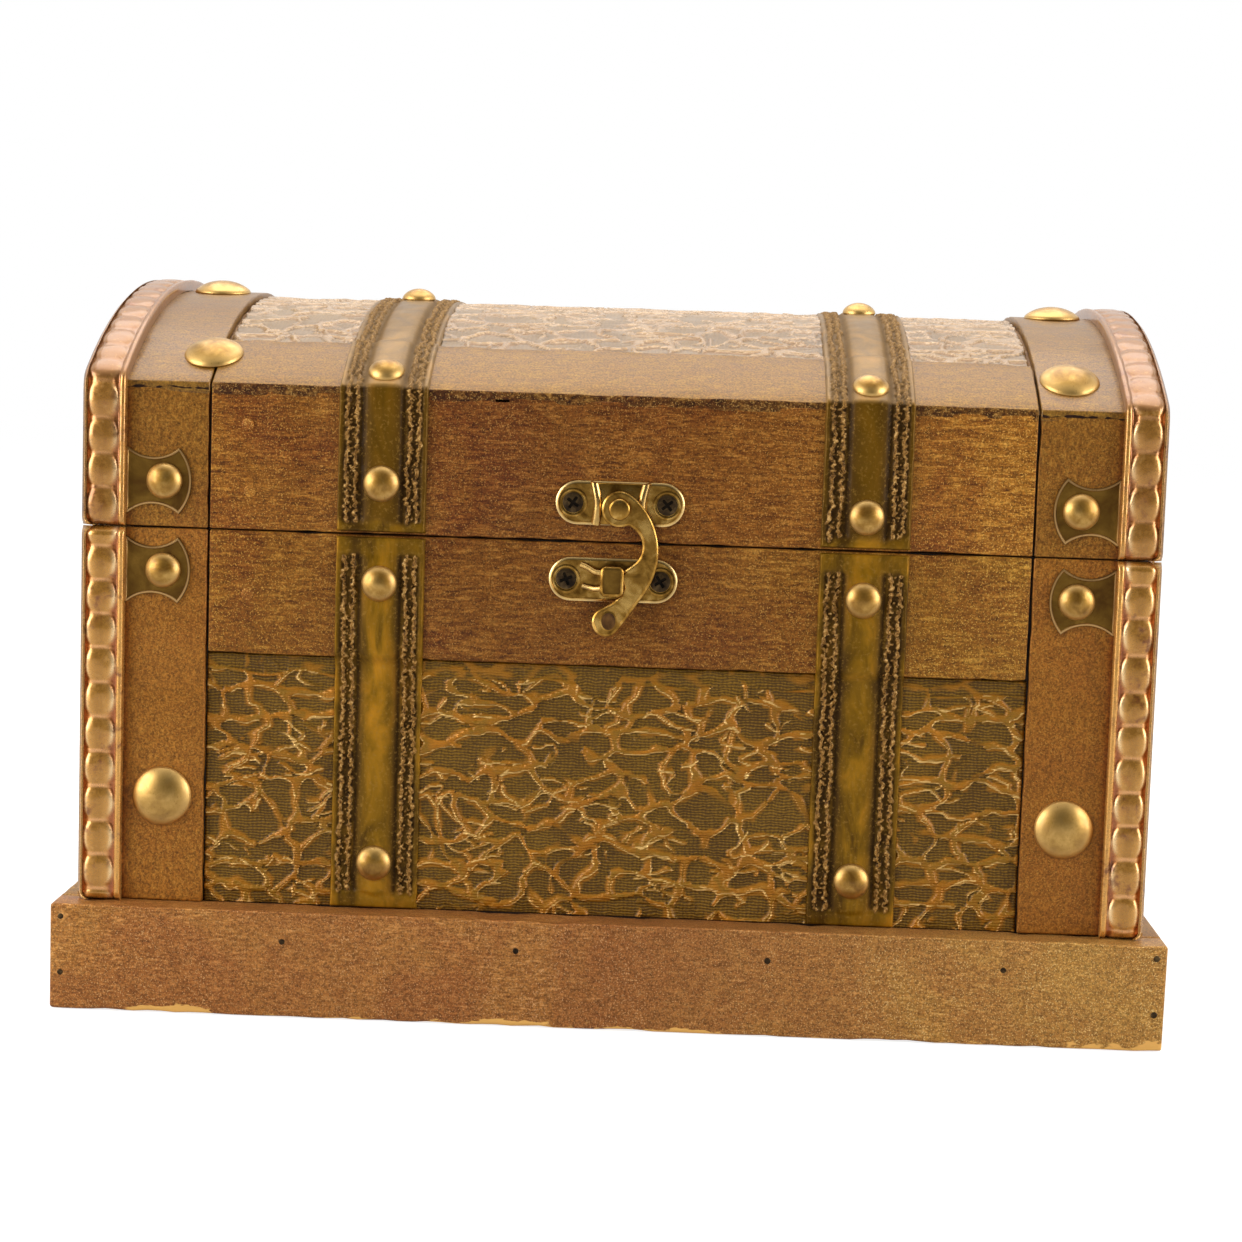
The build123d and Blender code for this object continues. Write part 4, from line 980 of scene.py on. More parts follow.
def crackle(points, seed):
    """Raised veins, painted highlights along their borders and the smears round them at flat places, each
    from 0 to 1.
    """
    def wave(number, length):
        return ripple(points, seed + number, length)

    bent = (points[0] + 1.2 * wave(0, 15.0) + 0.16 * wave(1, 3.4),
            points[1] + 1.0 * wave(2, 15.0) + 0.16 * wave(3, 3.4))
    total, border_highlight, stain = (np.zeros(len(points[0])) for _ in range(3))
    crowd = 0.9 * wave(12, 16.0)
    for level, (step_x, step_y, kept, width, tall) in enumerate(
            ((8.6, 5.4, 0.95, 0.15, 1.0), (6.2, 3.1, 0.34, 0.05, 0.85))):
        source = np.random.default_rng(seed + 10 + level)
        spots, strength = source.random((97, 89, 2)), source.random((211, 211))
        # Cells lie flat in some places and stand upright in others
        flat = 1.5 * np.exp2(0.8 * wave(4, 24.0) + 0.3 * level)
        best, names, slopes = nearest_cells(bent, step_x, step_y, flat, spots)
        pair = strength[(names[0] + names[1]) % 211, (names[0] * names[1]) % 211]
        present = np.clip((kept - pair + (0.2 + 0.3 * level) * crowd) * 6.0, 0.0, 1.0)
        knot = np.exp(-((best[2] - best[0]) / 1.5))
        vary = np.clip(1.0 + 0.7 * wave(5, 6.0), 0.1, 2.0)
        wide = width * (0.15 + 2.4 * pair ** 2 + 6.0 * knot * (1 - 0.5 * level)) * vary
        off = (best[1] - best[0]) / np.maximum(np.hypot(*(slopes[1] - slopes[0])), 0.35)
        total = np.maximum(total, tall * present * np.clip((wide + 0.40 - off) / 0.32, 0.0, 1.0))
        # Painted highlight along the borders of the veins; the lower borders catch more light than the upper
        # ones
        below = 0.36 + 0.64 * np.clip(-1.4 * (slopes[1] - slopes[0])[1], 0.0, 1.0)
        line = np.clip(1.5 - np.abs(off - wide - 0.14) / 0.17, 0.0, 1.0) * below
        border_highlight = np.maximum(border_highlight, present * line)
        smear = np.clip(0.5 + 0.9 * knot + 1.0 * wave(6, 9.0), 0.0, 1.0) * (1 - 0.3 * level)
        stain = np.maximum(stain, present * smear * np.clip(1.0 - (off - wide) / 1.4, 0.0, 1.0))
    return total, border_highlight, stain


def skin_columns(half, columns):
    """Places of the columns of a skin: few under the straps, so that the rest is finer."""
    edges = [-half, *(x + side * UNDER_STRAP for x in STRAP_X for side in SIDES), half]
    open_step = (edges[1] - edges[0] + edges[3] - edges[2] + edges[5] - edges[4]) / (columns - 12)
    counts = [round((edges[1] - edges[0]) / open_step), 6, 0, 6, round((edges[5] - edges[4]) / open_step)]
    counts[2] = columns - sum(counts)
    parts = [np.linspace(start, stop, count, endpoint=False)
             for start, stop, count in zip(edges, edges[1:], counts)]
    return np.concatenate(parts + [[half]])


def skin(name, columns, rows, half, limits, shape, seed, body=None, *nodes, calm_top=None, straps=()):
    """One crackled skin over flat places within its limits, put onto its panel by shape."""
    stations = skin_columns(half, columns) if straps else np.linspace(-half, half, columns + 1)

    def place(u, v):
        flat = (stations[np.rint(u * columns).astype(int)], limits[0] + (limits[1] - limits[0]) * v)
        veins, lit, stain = crackle(flat, seed)
        if calm_top is not None:
            # Plain above a wavy hem
            calm = calm_top + 0.8 * ripple((flat[0], 0.0), seed + 9, 14.0)
            above = flat[1] > calm
            hem = np.clip(1.0 - np.abs(flat[1] - calm) / 0.55, 0.0, 1.0)
            hem = hem * np.clip(0.5 + ripple((flat[0], 0.0), seed + 8, 16.0), 0.0, 1.0)
            veins = np.maximum(np.where(above, 0.25 * veins, veins), hem)
            stain = np.where(above, 0.5 * stain, stain)
            lit = np.where(above, 0.0, lit)
        height = 0.10 + 0.48 * veins + 0.10 * ripple(flat, seed + 7, 9.0) + 0.16 * stain
        for strap_x in straps:
            height = np.where(np.abs(flat[0] - strap_x) < 9.2, -0.3, height)
        height = np.where(on_edge(u, v, columns, rows), -0.6, height)
        marks = {"vein": veins, "stain": stain, "along": flat[0], "across": flat[1], "lit": lit}
        return shape(flat[0], flat[1], height), marks

    material = top_sheen_vinyl if shape is on_top else textured_vinyl
    return dress(fine_sheet(name, columns, rows, place), material, body, *nodes)


def on_front(end):
    return lambda x, z, height: np.stack((x, end * (FRONT_SKIN_Y + height), z), 1)


def on_top(x, y, height):
    return np.stack((x, y, ARCH_Z + np.sqrt((SKIN_RADIUS + height) ** 2 - y ** 2)), 1)


def on_side(hand):
    return lambda y, z, height: np.stack((hand * (SIDE_SKIN_X + height), y, z), 1)


def on_lid_end(hand):
    def shape(y, rise, height):
        top = ARCH_Z + np.sqrt(LID_END_RADIUS ** 2 - y ** 2)
        z = LID_Z + (top - LID_Z) * (rise / LID_END_HEIGHT)
        return np.stack((hand * (SIDE_SKIN_X + height), y, z), 1)
    return shape


for end, side, columns, rows, seed in ((-1, "front", 478, 204, 101), (1, "back", 344, 130, 131)):
    skin(f"{side}_skin", columns, rows, SKIN_HALF, (PLINTH_Z, SKIN_TOP_Z), on_front(end), seed,
         "chest_body", f"body_{side}_skin", calm_top=HEM_Z, straps=STRAP_X)
skin("lid_skin", 380, 240, FIELD_X, (-LID_SKIN_HALF, LID_SKIN_HALF), on_top, 161, "lid", "lid_top_skin",
     straps=STRAP_X)
body_sides = [skin("side_skin", 180, 110, SIDE_SKIN_HALF, (PLINTH_Z, SIDE_SKIN_TOP_Z), on_side(hand),
                   191 + hand) for hand in SIDES]
lid_ends = [skin("lid_end_skin", 180, 54, SIDE_SKIN_HALF, (0.0, LID_END_HEIGHT), on_lid_end(hand),
                 221 + hand) for hand in SIDES]
dress(joined(body_sides, "side_skins"), textured_vinyl, "chest_body", "body_side_skins")
dress(joined(lid_ends, "lid_end_skins_seen"), textured_vinyl, "lid", "lid_end_skins")


# Painted shade: a thin ragged dark sheet along the crack between the corner boards and the bands over them
def crack(x_low, x_high, end, seed):
    """A thin ragged line along X on the front or the back."""
    def place(u, v):
        x = x_low + (x_high - x_low) * u
        half = 0.30 * np.clip(0.55 + 0.8 * ripple((x, 0.0), seed, 2.6), 0.05, 1.0)
        height = FACING_TOP_Z + 0.22 * ripple((x, 0.0), seed + 1, 5.0) + (2 * v - 1) * half
        return np.stack((x, end * (FACE_Y + 0.02) + 0 * x, height), 1), {}

    return fine_sheet("crack", 220, 2, place)


cracks = [crack(*span(hand, 88.2, 105.6), end, 300 + 7 * hand + end) for hand in SIDES for end in SIDES]
dress(joined(cracks, "board_cracks"), crack_shade, "lid")


# Nails, pins and screws, turned ring by ring
def turned(name, rings, sides=32):
    """A round piece built up from (radius, height) rings in millimetres."""
    piece = disc(name, sides, *rings[0])
    edit(piece)
    for (radius, height), (next_radius, next_height) in zip(rings, rings[1:]):
        extrude(0.0, 0.0, (next_height - height) * MM)
        ratio = next_radius / radius
        bpy.ops.transform.resize(value=(ratio, ratio, 1.0))
    return smooth(outward(piece), 50)


def dome_rings(radius, height):
    """A dome between a ball's cap and an oval, on a short upright rim."""
    rings = [(radius * 0.985, -0.15), (radius, 0.02), (radius, 0.16), (radius * 0.985, 0.30)]
    ball = (radius ** 2 + height ** 2) / (2 * height)
    for step in range(1, 11):
        angle = math.radians(9 * step)
        ring = radius * 0.985 * math.cos(angle) ** 0.92
        cap = (math.sqrt(ball ** 2 - ring ** 2) - ball + height) / height
        rings.append((max(ring, 0.12), 0.30 + (height - 0.30) * (0.25 * math.sin(angle) + 0.75 * cap)))
    return rings


def nails(name, radius, height, spots, body, node, shine):
    """Dome nails at these places, each turned and tipped a little differently, with a painted highlight on
    their rims.
    """
    # Painted highlight: brighter towards the rim of each dome, and a little over the middle of the large ones
    def painted_light(point):
        share = point.xy.length / MM / radius
        return shine + (0.75 - shine) * min(1.0, max(0.0, (share - 0.66) / 0.2))

    pattern = rimmed(turned("nail", dome_rings(radius, height), 40), painted_light)
    places = []
    for place, out in spots:
        lean = Vector(out) + Vector(dice.uniform(-0.025, 0.025, 3))
        places.append(facing(place, lean, dice.uniform(0, 360), dice.uniform(0.975, 1.0)))
    dress(copies(pattern, places, name), brass, body, node)


def on_arch(x, y, radius):
    """A place on the lid's arch and the way out there."""
    z = math.sqrt(radius ** 2 - y ** 2)
    return (x, y, ARCH_Z + z), (0.0, y / radius, z / radius)


SMALL_RADIUS = 3.9
SMALL_HEIGHT = 2.45
LARGE_RADIUS = 6.5
LARGE_HEIGHT = 2.85
LID_LARGE_HEIGHT = 2.80
STRAP_NAIL_Z = 93.8
STRAP_FOOT_NAIL_Z = 33.0
LID_STRAP_NAILS_Z = (115.1, 111.4)
LID_STRAP_NAIL_Y = 73.85
SLOPE_NAIL_Y = 69.1
TOP_NAIL_Y = -9.0
BRACKET_NAIL = (97.3, 73.1)
SIDE_BRACKET_NAIL = (113.1, 57.3)
CORNER_NAIL_X = 97.0
FOOT_NAIL_Z = 46.0
BAND_NAILS_X = (-89.2, 95.0)
BAND_NAIL_Y = 61.5
body_small, lid_small, body_large, lid_large = [], [], [], []
for end in SIDES:
    forward = (0, end, 0)
    for x, z in zip(STRAP_X, LID_STRAP_NAILS_Z):
        body_small += [((x, end * LID_STRAP_Y, STRAP_NAIL_Z), forward),
                       ((x, end * STRAP_LOW_Y, STRAP_FOOT_NAIL_Z), forward)]
        lid_small += [((x, end * LID_STRAP_NAIL_Y, z), forward),
                      on_arch(x, end * SLOPE_NAIL_Y, STRAP_RADIUS - 0.1)]
    for hand in SIDES:
        for small, z in ((body_small, BODY_BRACKET_Z), (lid_small, LID_BRACKET_Z)):
            for (x, y), out in ((BRACKET_NAIL, forward), (SIDE_BRACKET_NAIL, (hand, 0, 0))):
                small.append(((hand * x, end * y, z), out))
        body_large.append(((hand * CORNER_NAIL_X, end * FACE_Y, FOOT_NAIL_Z), forward))
    lid_large += [on_arch(x, end * BAND_NAIL_Y, ARCH_RADIUS) for x in BAND_NAILS_X]
lid_small += [on_arch(x, TOP_NAIL_Y, LOW_STRAP_RADIUS) for x in STRAP_X]
lid_large += [on_arch(hand * CORNER_NAIL_X, TOP_NAIL_Y, ARCH_RADIUS) for hand in SIDES]
nails("body_small_domes", SMALL_RADIUS, SMALL_HEIGHT, body_small, "chest_body", "body_small_nails", 0.0)
nails("body_large_domes", LARGE_RADIUS, LARGE_HEIGHT, body_large, "chest_body", "body_large_nails", 0.25)
nails("lid_small_domes", SMALL_RADIUS, SMALL_HEIGHT, lid_small, "lid", "lid_small_nails", 0.0)
nails("lid_large_domes", LARGE_RADIUS, LID_LARGE_HEIGHT, lid_large, "lid", "lid_large_nails", 0.15)

PIN_Y = 79.32
PIN_X = 119.32
PIN_Z = 16.5
END_PIN_X = 117.1
END_PINS_Z = (8.05, 20.24)
SIDE_PIN_Y = 35.15
BOARD_PINS_X = (-69.3, -19.1, 34.7, 84.8)
pin_spots = []
for end in SIDES:
    spots = []
    for hand in SIDES:
        spots += [((hand * END_PIN_X, end * PIN_Y, z), (0, end, 0)) for z in END_PINS_Z]
        spots.append(((hand * PIN_X, end * SIDE_PIN_Y, PIN_Z), (hand, 0, 0)))
    spots += [((-end * x, end * PIN_Y, PIN_Z), (0, end, 0)) for x in BOARD_PINS_X]
    pin_spots += [facing(*spot, dice.uniform(0, 360)) for spot in spots]
pin_rings = [(0.6, -0.2), (0.7, 0.0), (0.62, 0.12), (0.45, 0.17), (0.25, 0.12), (0.1, 0.1)]
pin_heads = copies(turned("pin", pin_rings, 14), pin_spots, "plinth_pin_heads")
dress(pin_heads, dark_steel, "chest_body", "plinth_pins")


# Flat metal pieces cut from an outline
def plate(name, outline, thickness, edge, rim, drop, segments=3):
    """A plate from an outline in millimetres, rising in Z from 0, with a raised rim round its top."""
    piece = disc(name, len(outline), 1.0)
    for vertex, (x, y) in zip(piece.data.vertices, outline):
        vertex.co = (x * MM, y * MM, 0.0)
    edit(piece)
    extrude(0.0, 0.0, thickness * MM)
    bevel(edge, segments)
    outward(piece)
    edit(piece, "DESELECT")
    bpy.ops.object.mode_set(mode="OBJECT")
    for face in piece.data.polygons:
        face.select = face.normal.z > 0.95 and face.center.z / MM > thickness - 0.05
    bpy.ops.object.mode_set(mode="EDIT")
    bpy.ops.mesh.inset(thickness=rim * MM)
    bpy.ops.mesh.inset(thickness=drop * MM * 0.8)
    bpy.ops.transform.translate(value=(0.0, 0.0, -drop * MM))
    rest()
    # Painted highlight along the top of the raised rim
    return rimmed(piece, lambda point: float(abs(point.z / MM - thickness) < 0.04))


def bracket_outline():
    """Leg of a corner bracket from the trim's edge: flared ends, a narrow neck and a bowed tip."""
    upper = [(6.9, 7.0), (7.4, 7.0)] + arc((7.4, 7.0), (13.0, 5.0), (18.3, 7.1), 12)[1:]
    tip = arc((18.3, 7.1), (21.0, 0.0), (18.3, -7.1), 14)
    lower = arc((18.3, -7.1), (13.0, -5.0), (7.4, -7.0), 12)
    return (upper + tip + lower + [(7.4, -7.0), (6.9, -7.0)])[::-1]


def brackets(name, z, body, node):
    """The corner brackets at one height: a leg on the face and a leg on the side at each corner."""
    pattern = smooth(plate("bracket", bracket_outline(), 0.62, 0.16, 0.26, 0.22, 2), 30)
    legs = []
    for end in SIDES:
        for hand in SIDES:
            for turn in (((-hand, 0, 0), (0, 0, end), (0, 1, 0)), ((0, 0, hand), (-end, 0, 0), (0, 1, 0))):
                legs.append(moved(hand * SIDE_X, end * FACE_Y, z) @ Matrix(turn).to_4x4())
    dress(outward(copies(pattern, legs, name)), dark_brass, body, node)


brackets("body_bracket_legs", BODY_BRACKET_Z, "chest_body", "body_corner_brackets")
brackets("lid_bracket_legs", LID_BRACKET_Z, "lid", "lid_corner_brackets")


# Latch
HOOK_Y = 75.0
RIVET_Y = 76.7
SCREW_Y = 73.42
SCREW_REACH = 10.0
CATCH_X = -1.0
DIMPLE = (-1.6, -23.8)
DIMPLE_WIDE = 0.95
DIMPLE_TALL = 1.15
EYE_RADIUS = 3.85
HOOK_THICK = 1.4


def front_of(x, z, y):
    """A pattern's place on the front at a depth, its Y up."""
    return moved(x, -y, z) @ spun(90, "X")


def mounted(pieces, name, body, node, place=Matrix()):
    """Put the pieces of a fitting in place as one piece of antique brass."""
    for piece in pieces:
        piece.data.transform(place)
    return dress(smooth(joined(pieces, name), 35), antique_brass, body, node)


def long_plate(name):
    """Round-ended plate with a raised rim and a dished seat round each screw."""
    outline = []
    for way in (1, -1):
        tip = [(way * x, way * y) for x, y in ((9.05, -4.7), (13.75, 0.0), (9.05, 4.7))]
        outline += arc(*tip, 20) + [tip[2]]
    piece = plate(name, outline, 1.0, 0.25, 0.55, 0.35)
    seat = turned("seat", [(3.15, 0.55), (3.05, 0.78), (2.75, 0.86), (2.45, 0.78), (2.3, 0.55)], 28)
    return [piece, copies(seat, [moved(way * SCREW_REACH, 0.0, 0.0) for way in SIDES], "seats")]


def ridge(points, radius):
    """A raised fold along a line of points, rounded and sunk by half."""
    points = [Vector(point) for point in points]
    piece = disc("ridge", 12, radius)
    turn = (points[1] - points[0]).normalized().to_track_quat("Z", "Y").to_matrix().to_4x4()
    piece.data.transform(moved(*points[0]) @ turn)
    edit(piece)
    for here, there in zip(points, points[1:]):
        extrude(*((there - here) * MM))
    # Painted highlight over the whole fold
    return smooth(rimmed(outward(piece), lambda point: 0.3), 60)


def block(name, size, place, edge):
    """A small block with rounded edges, in millimetres."""
    piece = cuboid(name, Vector(size) * MM, Vector(place) * MM, edge)
    rest()
    return piece


def cross_screw(name):
    """A countersunk screw head with a cross recess, its top level with 0."""
    head = turned(name, [(1.1, -1.2), (1.9, -0.35), (2.2, -0.08), (2.2, 0.0), (2.1, 0.04), (0.2, 0.08)], 28)
    for size in ((2.9, 0.66, 0.5), (0.66, 2.9, 0.5)):
        cutter = cuboid("cutter", Vector(size) * MM, (0.0, 0.0, 0.0), 0.12, 1)
        only(head)
        cut = head.modifiers.new("cut", "BOOLEAN")
        cut.operation, cut.object, cut.solver = "DIFFERENCE", cutter, "EXACT"
        bpy.ops.object.modifier_apply(modifier="cut")
        bpy.data.objects.remove(cutter, do_unlink=True)
    # Painted shade in the cross recess: it gets the dark rim colour of dark steel
    return smooth(rimmed(head, lambda point: float(point.xy.length < 1.6 * MM and point.z < -0.1 * MM)), 35)


def bridge_fold(side):
    """One of the two folds of the bridge, leaning outwards at its foot."""
    return [(side * (4.6 + 0.65 * abs(t) ** 1.5 + 0.25 * t), t * 4.45, 1.55 + 0.5 * math.cos(t * 1.45))
            for t in np.linspace(-1.0, 1.0, 13)]


latch_base = long_plate("latch_base") + [block("bridge", (9.6, 8.9, 1.2), (0.0, 0.0, 1.4), 0.4)]
latch_base += [ridge(bridge_fold(side), 0.95) for side in SIDES]
mounted(latch_base, "latch_plate_seen", "lid", "latch_plate", front_of(0.0, LATCH_Z, FACE_Y))

lug_outline = []
for x, y, first in ((1.3, 2.0, 0), (-1.3, 2.0, 90), (-1.3, -2.0, 180), (1.3, -2.0, 270)):
    for angle in (math.radians(first + 15 * step) for step in range(7)):
        lug_outline.append((x + 1.2 * math.cos(angle), y + 1.2 * math.sin(angle)))
upper_fold = ((-6.9, 3.1, 0.75), (-5.6, 2.7, 1.2), (-3.9, 1.75, 1.9), (-2.2, 1.5, 2.5), (-0.6, 1.5, 2.9))
lower_fold = ((-6.4, -1.4, 0.75), (-5.2, -1.7, 1.2), (-3.9, -1.9, 1.8), (-2.2, -1.7, 2.5), (-0.6, -1.6, 2.9))
catch = long_plate("catch_base") + [ridge(upper_fold, 0.7), ridge(lower_fold, 0.6)]
catch.append(block("post", (2.2, 4.4, 3.4), (-1.5, 0.0, 2.6), 0.3))
catch.append(plate("lug", lug_outline, 1.0, 0.3, 0.5, 0.25))
catch[-1].data.transform(moved(-0.1, 0.0, 4.2))
catch = mounted(catch, "catch_plate_seen", "chest_body", "catch_plate", front_of(CATCH_X, CATCH_Z, FACE_Y))
# Painted shade: the sunken middle of the lug gets dark brass
darken_end(catch, lambda middle, normal: middle.y < -77.2 and normal.y < -0.9
           and math.hypot(middle.x - CATCH_X + 0.1, middle.z - CATCH_Z) < 1.2, dark_brass)

rivet = turned("rivet", [(1.1, -4.0), (1.1, 0.0), (2.05, 0.02), (2.3, 0.25), (2.3, 0.62), (2.1, 0.88),
                         (1.6, 0.99), (0.2, 1.0)])
rivet.data.transform(front_of(0.0, PIVOT_Z, RIVET_Y))
dress(rivet, antique_brass, "lid", "latch_rivet")


def hook_outline():
    """Outline of the hook from its pivot: eye, bowed arm, jaw with a notch and a rounded tail."""
    def at(*shares):
        return [(x * 8.5, z * 27.3) for x, z in shares]

    def on_eye(point):
        angle = math.atan2(point[1], point[0])
        return EYE_RADIUS * math.cos(angle), EYE_RADIUS * math.sin(angle)

    outer = at((0.2, 0.134), (1.0, -0.29), (0.545, -0.71))
    tail = at((0.05, -0.95), (-0.62, -0.87), (-0.25, -0.765))
    jaw = at((0.23, -0.665), (0.30, -0.60), (-0.03, -0.555), (-0.03, -0.50))
    inner = at((0.30, -0.445), (0.60, -0.31), (0.25, -0.125))
    # The arm leaves the eye where its outer and inner lines meet the eye's circle
    top, under = on_eye(outer[0]), on_eye(inner[2])
    points = arc(under, (-EYE_RADIUS, 0.0), top, 30) + [top] + arc(*outer, 26)[1:] + arc(*tail, 18)
    points += [tail[2]] + jaw + arc(*inner, 14) + [inner[2]]
    line = np.array(points)
    for _ in range(2):
        line = np.roll(line, 1, 0) * 0.25 + np.roll(line, -1, 0) * 0.25 + line * 0.5
    return [tuple(point) for point in line[::-1]]


hook = plate("hook", hook_outline(), HOOK_THICK, 0.32, 0.42, 0.12)
dimple_rings = [(1.9, -0.1), (1.85, 0.03), (1.6, 0.10), (1.2, 0.03), (0.7, -0.03), (0.1, -0.05)]
dimple = turned("dimple", dimple_rings, 28)
dimple.data.transform(moved(*DIMPLE, 1.34) @ Matrix.Diagonal((DIMPLE_WIDE, DIMPLE_TALL, 1.0, 1.0)))
hook = smooth(joined([hook, dimple], "hook"), 40)
hook.data.transform(front_of(0.0, PIVOT_Z, HOOK_Y))
dress(hook, antique_brass, "latch_hook", "latch_hook")
darken_end(hook, lambda middle, normal: middle.y < -76.2 and math.hypot(
    (middle.x - DIMPLE[0]) / DIMPLE_WIDE, (middle.z - PIVOT_Z - DIMPLE[1]) / DIMPLE_TALL) < 1.6, tail_brown)

HINGE_SCREW_X = 5.5
HINGE_SCREW_Y = 73.5
screw = cross_screw("screw")
hinge_rings = [(0.8, -0.5), (1.7, 0.0), (1.7, 0.15), (1.35, 0.5), (0.8, 0.66), (0.15, 0.7)]
hinge_screw = turned("hinge_screw", hinge_rings, 24)
for which, body, xs, z, hinge_z in (("body", "chest_body", (9.0, -11.0), CATCH_Z, 97.05),
                                    ("lid", "lid", (10.0, -10.0), LATCH_Z, 111.25)):
    before = [front_of(x, z, SCREW_Y) @ Matrix.Rotation(dice.uniform(0, 1.5), 4, "Z") for x in xs]
    behind = [facing((hand * HINGE_X + side * HINGE_SCREW_X, HINGE_SCREW_Y, hinge_z), (0, 1, 0))
              for hand in SIDES for side in SIDES]
    heads = [copies(screw.copy(), before, "screws"), copies(hinge_screw.copy(), behind, "hinge_screws")]
    dress(joined(heads, f"{which}_screw_heads"), dark_steel, body, f"{which}_screws")
for pattern in (screw, hinge_screw):
    bpy.data.objects.remove(pattern, do_unlink=True)


# Hinges on the back
KNUCKLE = 2.55
PIN_HOLE = 1.2
LEAF_HALF = 10.0
OUTER_FROM = 4.0
INNER_HALF = 3.7
LEAF_Y = 73.0
NECK_Y = 73.45
BODY_LEAF_Z = (91.55, 102.4)
LID_LEAF_Z = (105.9, 116.75)


def knuckle(x_low, x_high):
    """A tube along X round the hinge's axis."""
    length = x_high - x_low
    rings = [(PIN_HOLE, 0.0), (KNUCKLE - 0.2, 0.0), (KNUCKLE, 0.2), (KNUCKLE, length - 0.2),
             (KNUCKLE - 0.2, length), (PIN_HOLE, length)]
    piece = turned("knuckle", rings)
    piece.data.transform(moved(x_low, HINGE_Y, HINGE_Z) @ spun(90, "Y"))
    return piece


leaves = {"body": [], "lid": []}
pins = []
pin_end = [(1.05, -10.0), (1.05, 10.1), (1.7, 10.12), (1.8, 10.4), (1.5, 10.72), (0.1, 10.8)]
for hand in SIDES:
    x = hand * HINGE_X
    for which, (low_z, high_z), neck_z, reaches in (
            ("body", BODY_LEAF_Z, BODY_LEAF_Z[1], ((-LEAF_HALF, -OUTER_FROM), (OUTER_FROM, LEAF_HALF))),
            ("lid", LID_LEAF_Z, LID_LEAF_Z[0], ((-INNER_HALF, INNER_HALF),))):
        size, place = (2 * LEAF_HALF, 1.0, high_z - low_z), (x, LEAF_Y, (low_z + high_z) / 2)
        leaves[which].append(block("leaf", size, place, 0.22))
        leaves[which] += [knuckle(x + low, x + high) for low, high in reaches]
        for low, high in reaches:
            place = (x + (low + high) / 2, NECK_Y, neck_z)
            leaves[which].append(block("neck", (high - low, 1.1, 2.4), place, 0.3))
    for way in SIDES:
        pins.append(turned("pin", pin_end, 24))
        pins[-1].data.transform(moved(x, HINGE_Y, HINGE_Z) @ spun(90 * way, "Y"))
mounted(leaves["body"], "hinge_lower_leaves", "chest_body", "hinge_body_leaves")
mounted(leaves["lid"], "hinge_upper_leaves", "lid", "hinge_lid_leaves")
mounted(pins, "hinge_pins_seen", "chest_body", "hinge_pins")

# Filled nail holes in the front boards
plug_rings = [(1.25, -0.2), (1.3, 0.02), (1.15, 0.10), (0.9, 0.05), (0.5, 0.06), (0.1, 0.07)]
for body, which, places in (("lid", "lid", ((-79.7, 126.7), (-79.0, 112.5), (78.4, 119.6))),
                            ("chest_body", "rail", ((-79.2, 90.4),))):
    spots = [facing((x, -FACE_Y + 0.01, z), (0, -1, 0), dice.uniform(0, 360)) for x, z in places]
    dress(copies(turned("plug", plug_rings, 20), spots, f"{which}_plugs"), plug_wood, body)


# Stage: a pale floor, a white surround and soft boxes
def photo_camera():
    """The photograph's camera: a long lens in front, a little above and leaning to one side."""
    yaw, pitch, roll = -0.03096, 0.10598, 0.03237
    ahead = Vector((math.sin(yaw) * math.cos(pitch), math.cos(yaw) * math.cos(pitch), -math.sin(pitch)))
    right = Vector((math.cos(yaw), -math.sin(yaw), 0.0))
    above = right.cross(ahead)
    across = right * math.cos(roll) + above * math.sin(roll)
    upward = above * math.cos(roll) - right * math.sin(roll)
    data = bpy.data.cameras.new("photo_camera")
    data.sensor_width = 36.0
    data.lens = 78.30
    data.clip_start = 0.01
    camera = bpy.data.objects.new("photo_camera", data)
    bpy.context.collection.objects.link(camera)
    turn = Matrix((across, upward, -ahead)).transposed().to_4x4()
    camera.matrix_world = Matrix.Translation((18.68 * MM, -645.01 * MM, 148.41 * MM)) @ turn
    bpy.context.scene.camera = camera


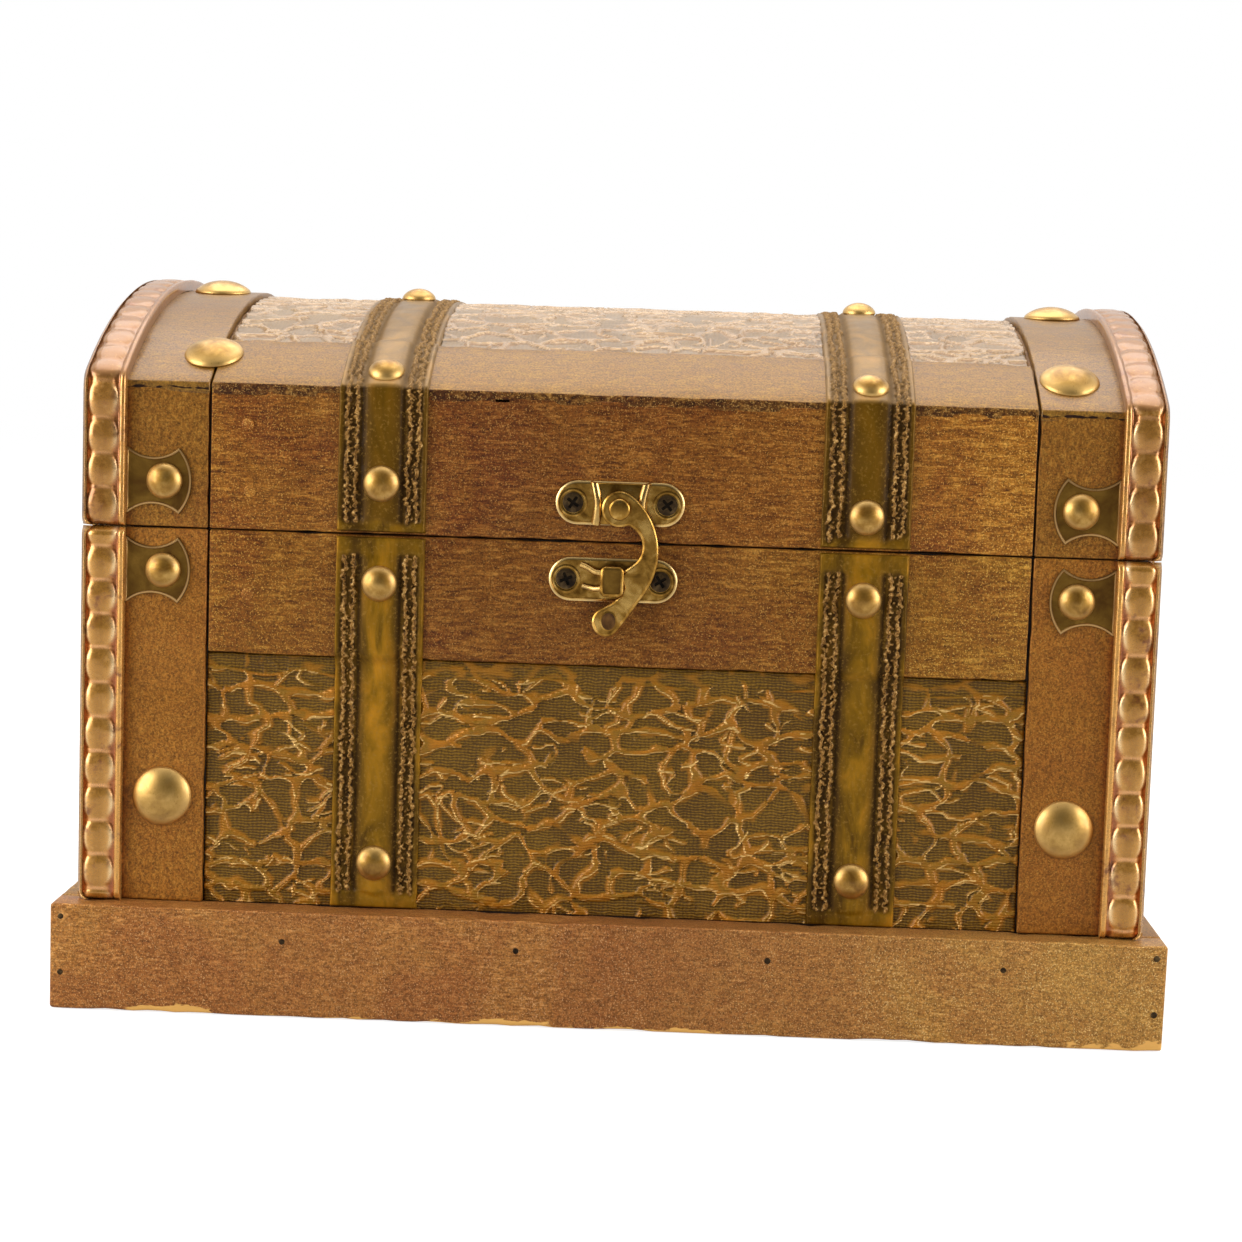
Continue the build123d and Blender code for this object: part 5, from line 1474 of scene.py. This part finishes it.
def surround():
    """White all round for the camera and for gloss, softer for the light itself."""
    world = bpy.data.worlds.new("surround")
    bpy.context.scene.world = world
    world.use_nodes = True
    nodes = Nodes(world.node_tree)
    ray = nodes.node("ShaderNodeLightPath").outputs
    heading = nodes.node("ShaderNodeTexCoord").outputs["Generated"]
    # The room behind the camera is darker than the white paper round the object
    levels = {"Value": nodes.node("ShaderNodeSeparateXYZ", {0: heading}).outputs["Y"],
              "From Min": -0.88, "From Max": -0.10, "To Min": 0.06, "To Max": 1.0}
    room = nodes.node("ShaderNodeMapRange", levels, interpolation_type="SMOOTHSTEP").outputs["Result"]
    levels = {"Value": ray["Is Glossy Ray"], "To Min": 0.50, "To Max": room}
    soft = nodes.node("ShaderNodeMapRange", levels).outputs["Result"]
    seen = nodes.sum(ray["Is Camera Ray"], ray["Is Transmission Ray"], "MAXIMUM")
    strength = nodes.node("ShaderNodeMapRange", {"Value": seen, "To Min": soft, "To Max": 1.0})
    background = nodes.tree.nodes["Background"]
    nodes.feed(background.inputs["Color"], (1.0, 1.0, 1.0, 1.0))
    nodes.feed(background.inputs["Strength"], strength.outputs["Result"])


def floor():
    """A pale floor that stays white to the camera and keeps the object's shadow."""
    rest()
    bpy.ops.mesh.primitive_plane_add(size=6.0, location=(0.0, 0.0, -0.0002))
    ground = settle("floor")
    material = bpy.data.materials.new("floor_white")
    material.use_nodes = True
    nodes = Nodes(material.node_tree)
    nodes.tree.nodes.remove(nodes.tree.nodes["Principled BSDF"])
    matt = nodes.node("ShaderNodeBsdfDiffuse", {"Color": (0.42, 0.42, 0.42, 1.0)})
    ray = nodes.node("ShaderNodeLightPath").outputs
    share = nodes.node("ShaderNodeMath", {0: ray["Is Glossy Ray"], 1: 0.45, 2: ray["Is Camera Ray"]},
                       operation="MULTIPLY_ADD")
    glow = nodes.node("ShaderNodeEmission", {"Strength": nodes.times(share.outputs[0], 0.785)})
    both = nodes.node("ShaderNodeAddShader", {0: matt.outputs[0], 1: glow.outputs[0]})
    nodes.feed(nodes.tree.nodes["Material Output"].inputs["Surface"], both.outputs[0])
    ground.data.materials.append(material)


def soft_box(name, place, target, size, power):
    """A square soft light that faces its target."""
    data = bpy.data.lights.new(name, "AREA")
    data.shape = "SQUARE"
    data.size = size
    data.energy = power
    lamp = bpy.data.objects.new(name, data)
    bpy.context.collection.objects.link(lamp)
    aim = (Vector(target) - Vector(place)).to_track_quat("-Z", "Y")
    lamp.matrix_world = Matrix.Translation(place) @ aim.to_matrix().to_4x4()


photo_camera()
surround()
floor()
soft_box("left_box", (-0.75, -0.45, 0.35), (0.0, 0.0, 0.08), 0.6, 7.0)
soft_box("right_box", (0.85, -0.35, 0.35), (0.0, 0.0, 0.08), 0.6, 7.0)
soft_box("top_box", (0.0, 0.25, 0.95), (0.0, 0.0, 0.1), 0.9, 7.0)
bpy.context.scene.view_settings.view_transform = "Standard"
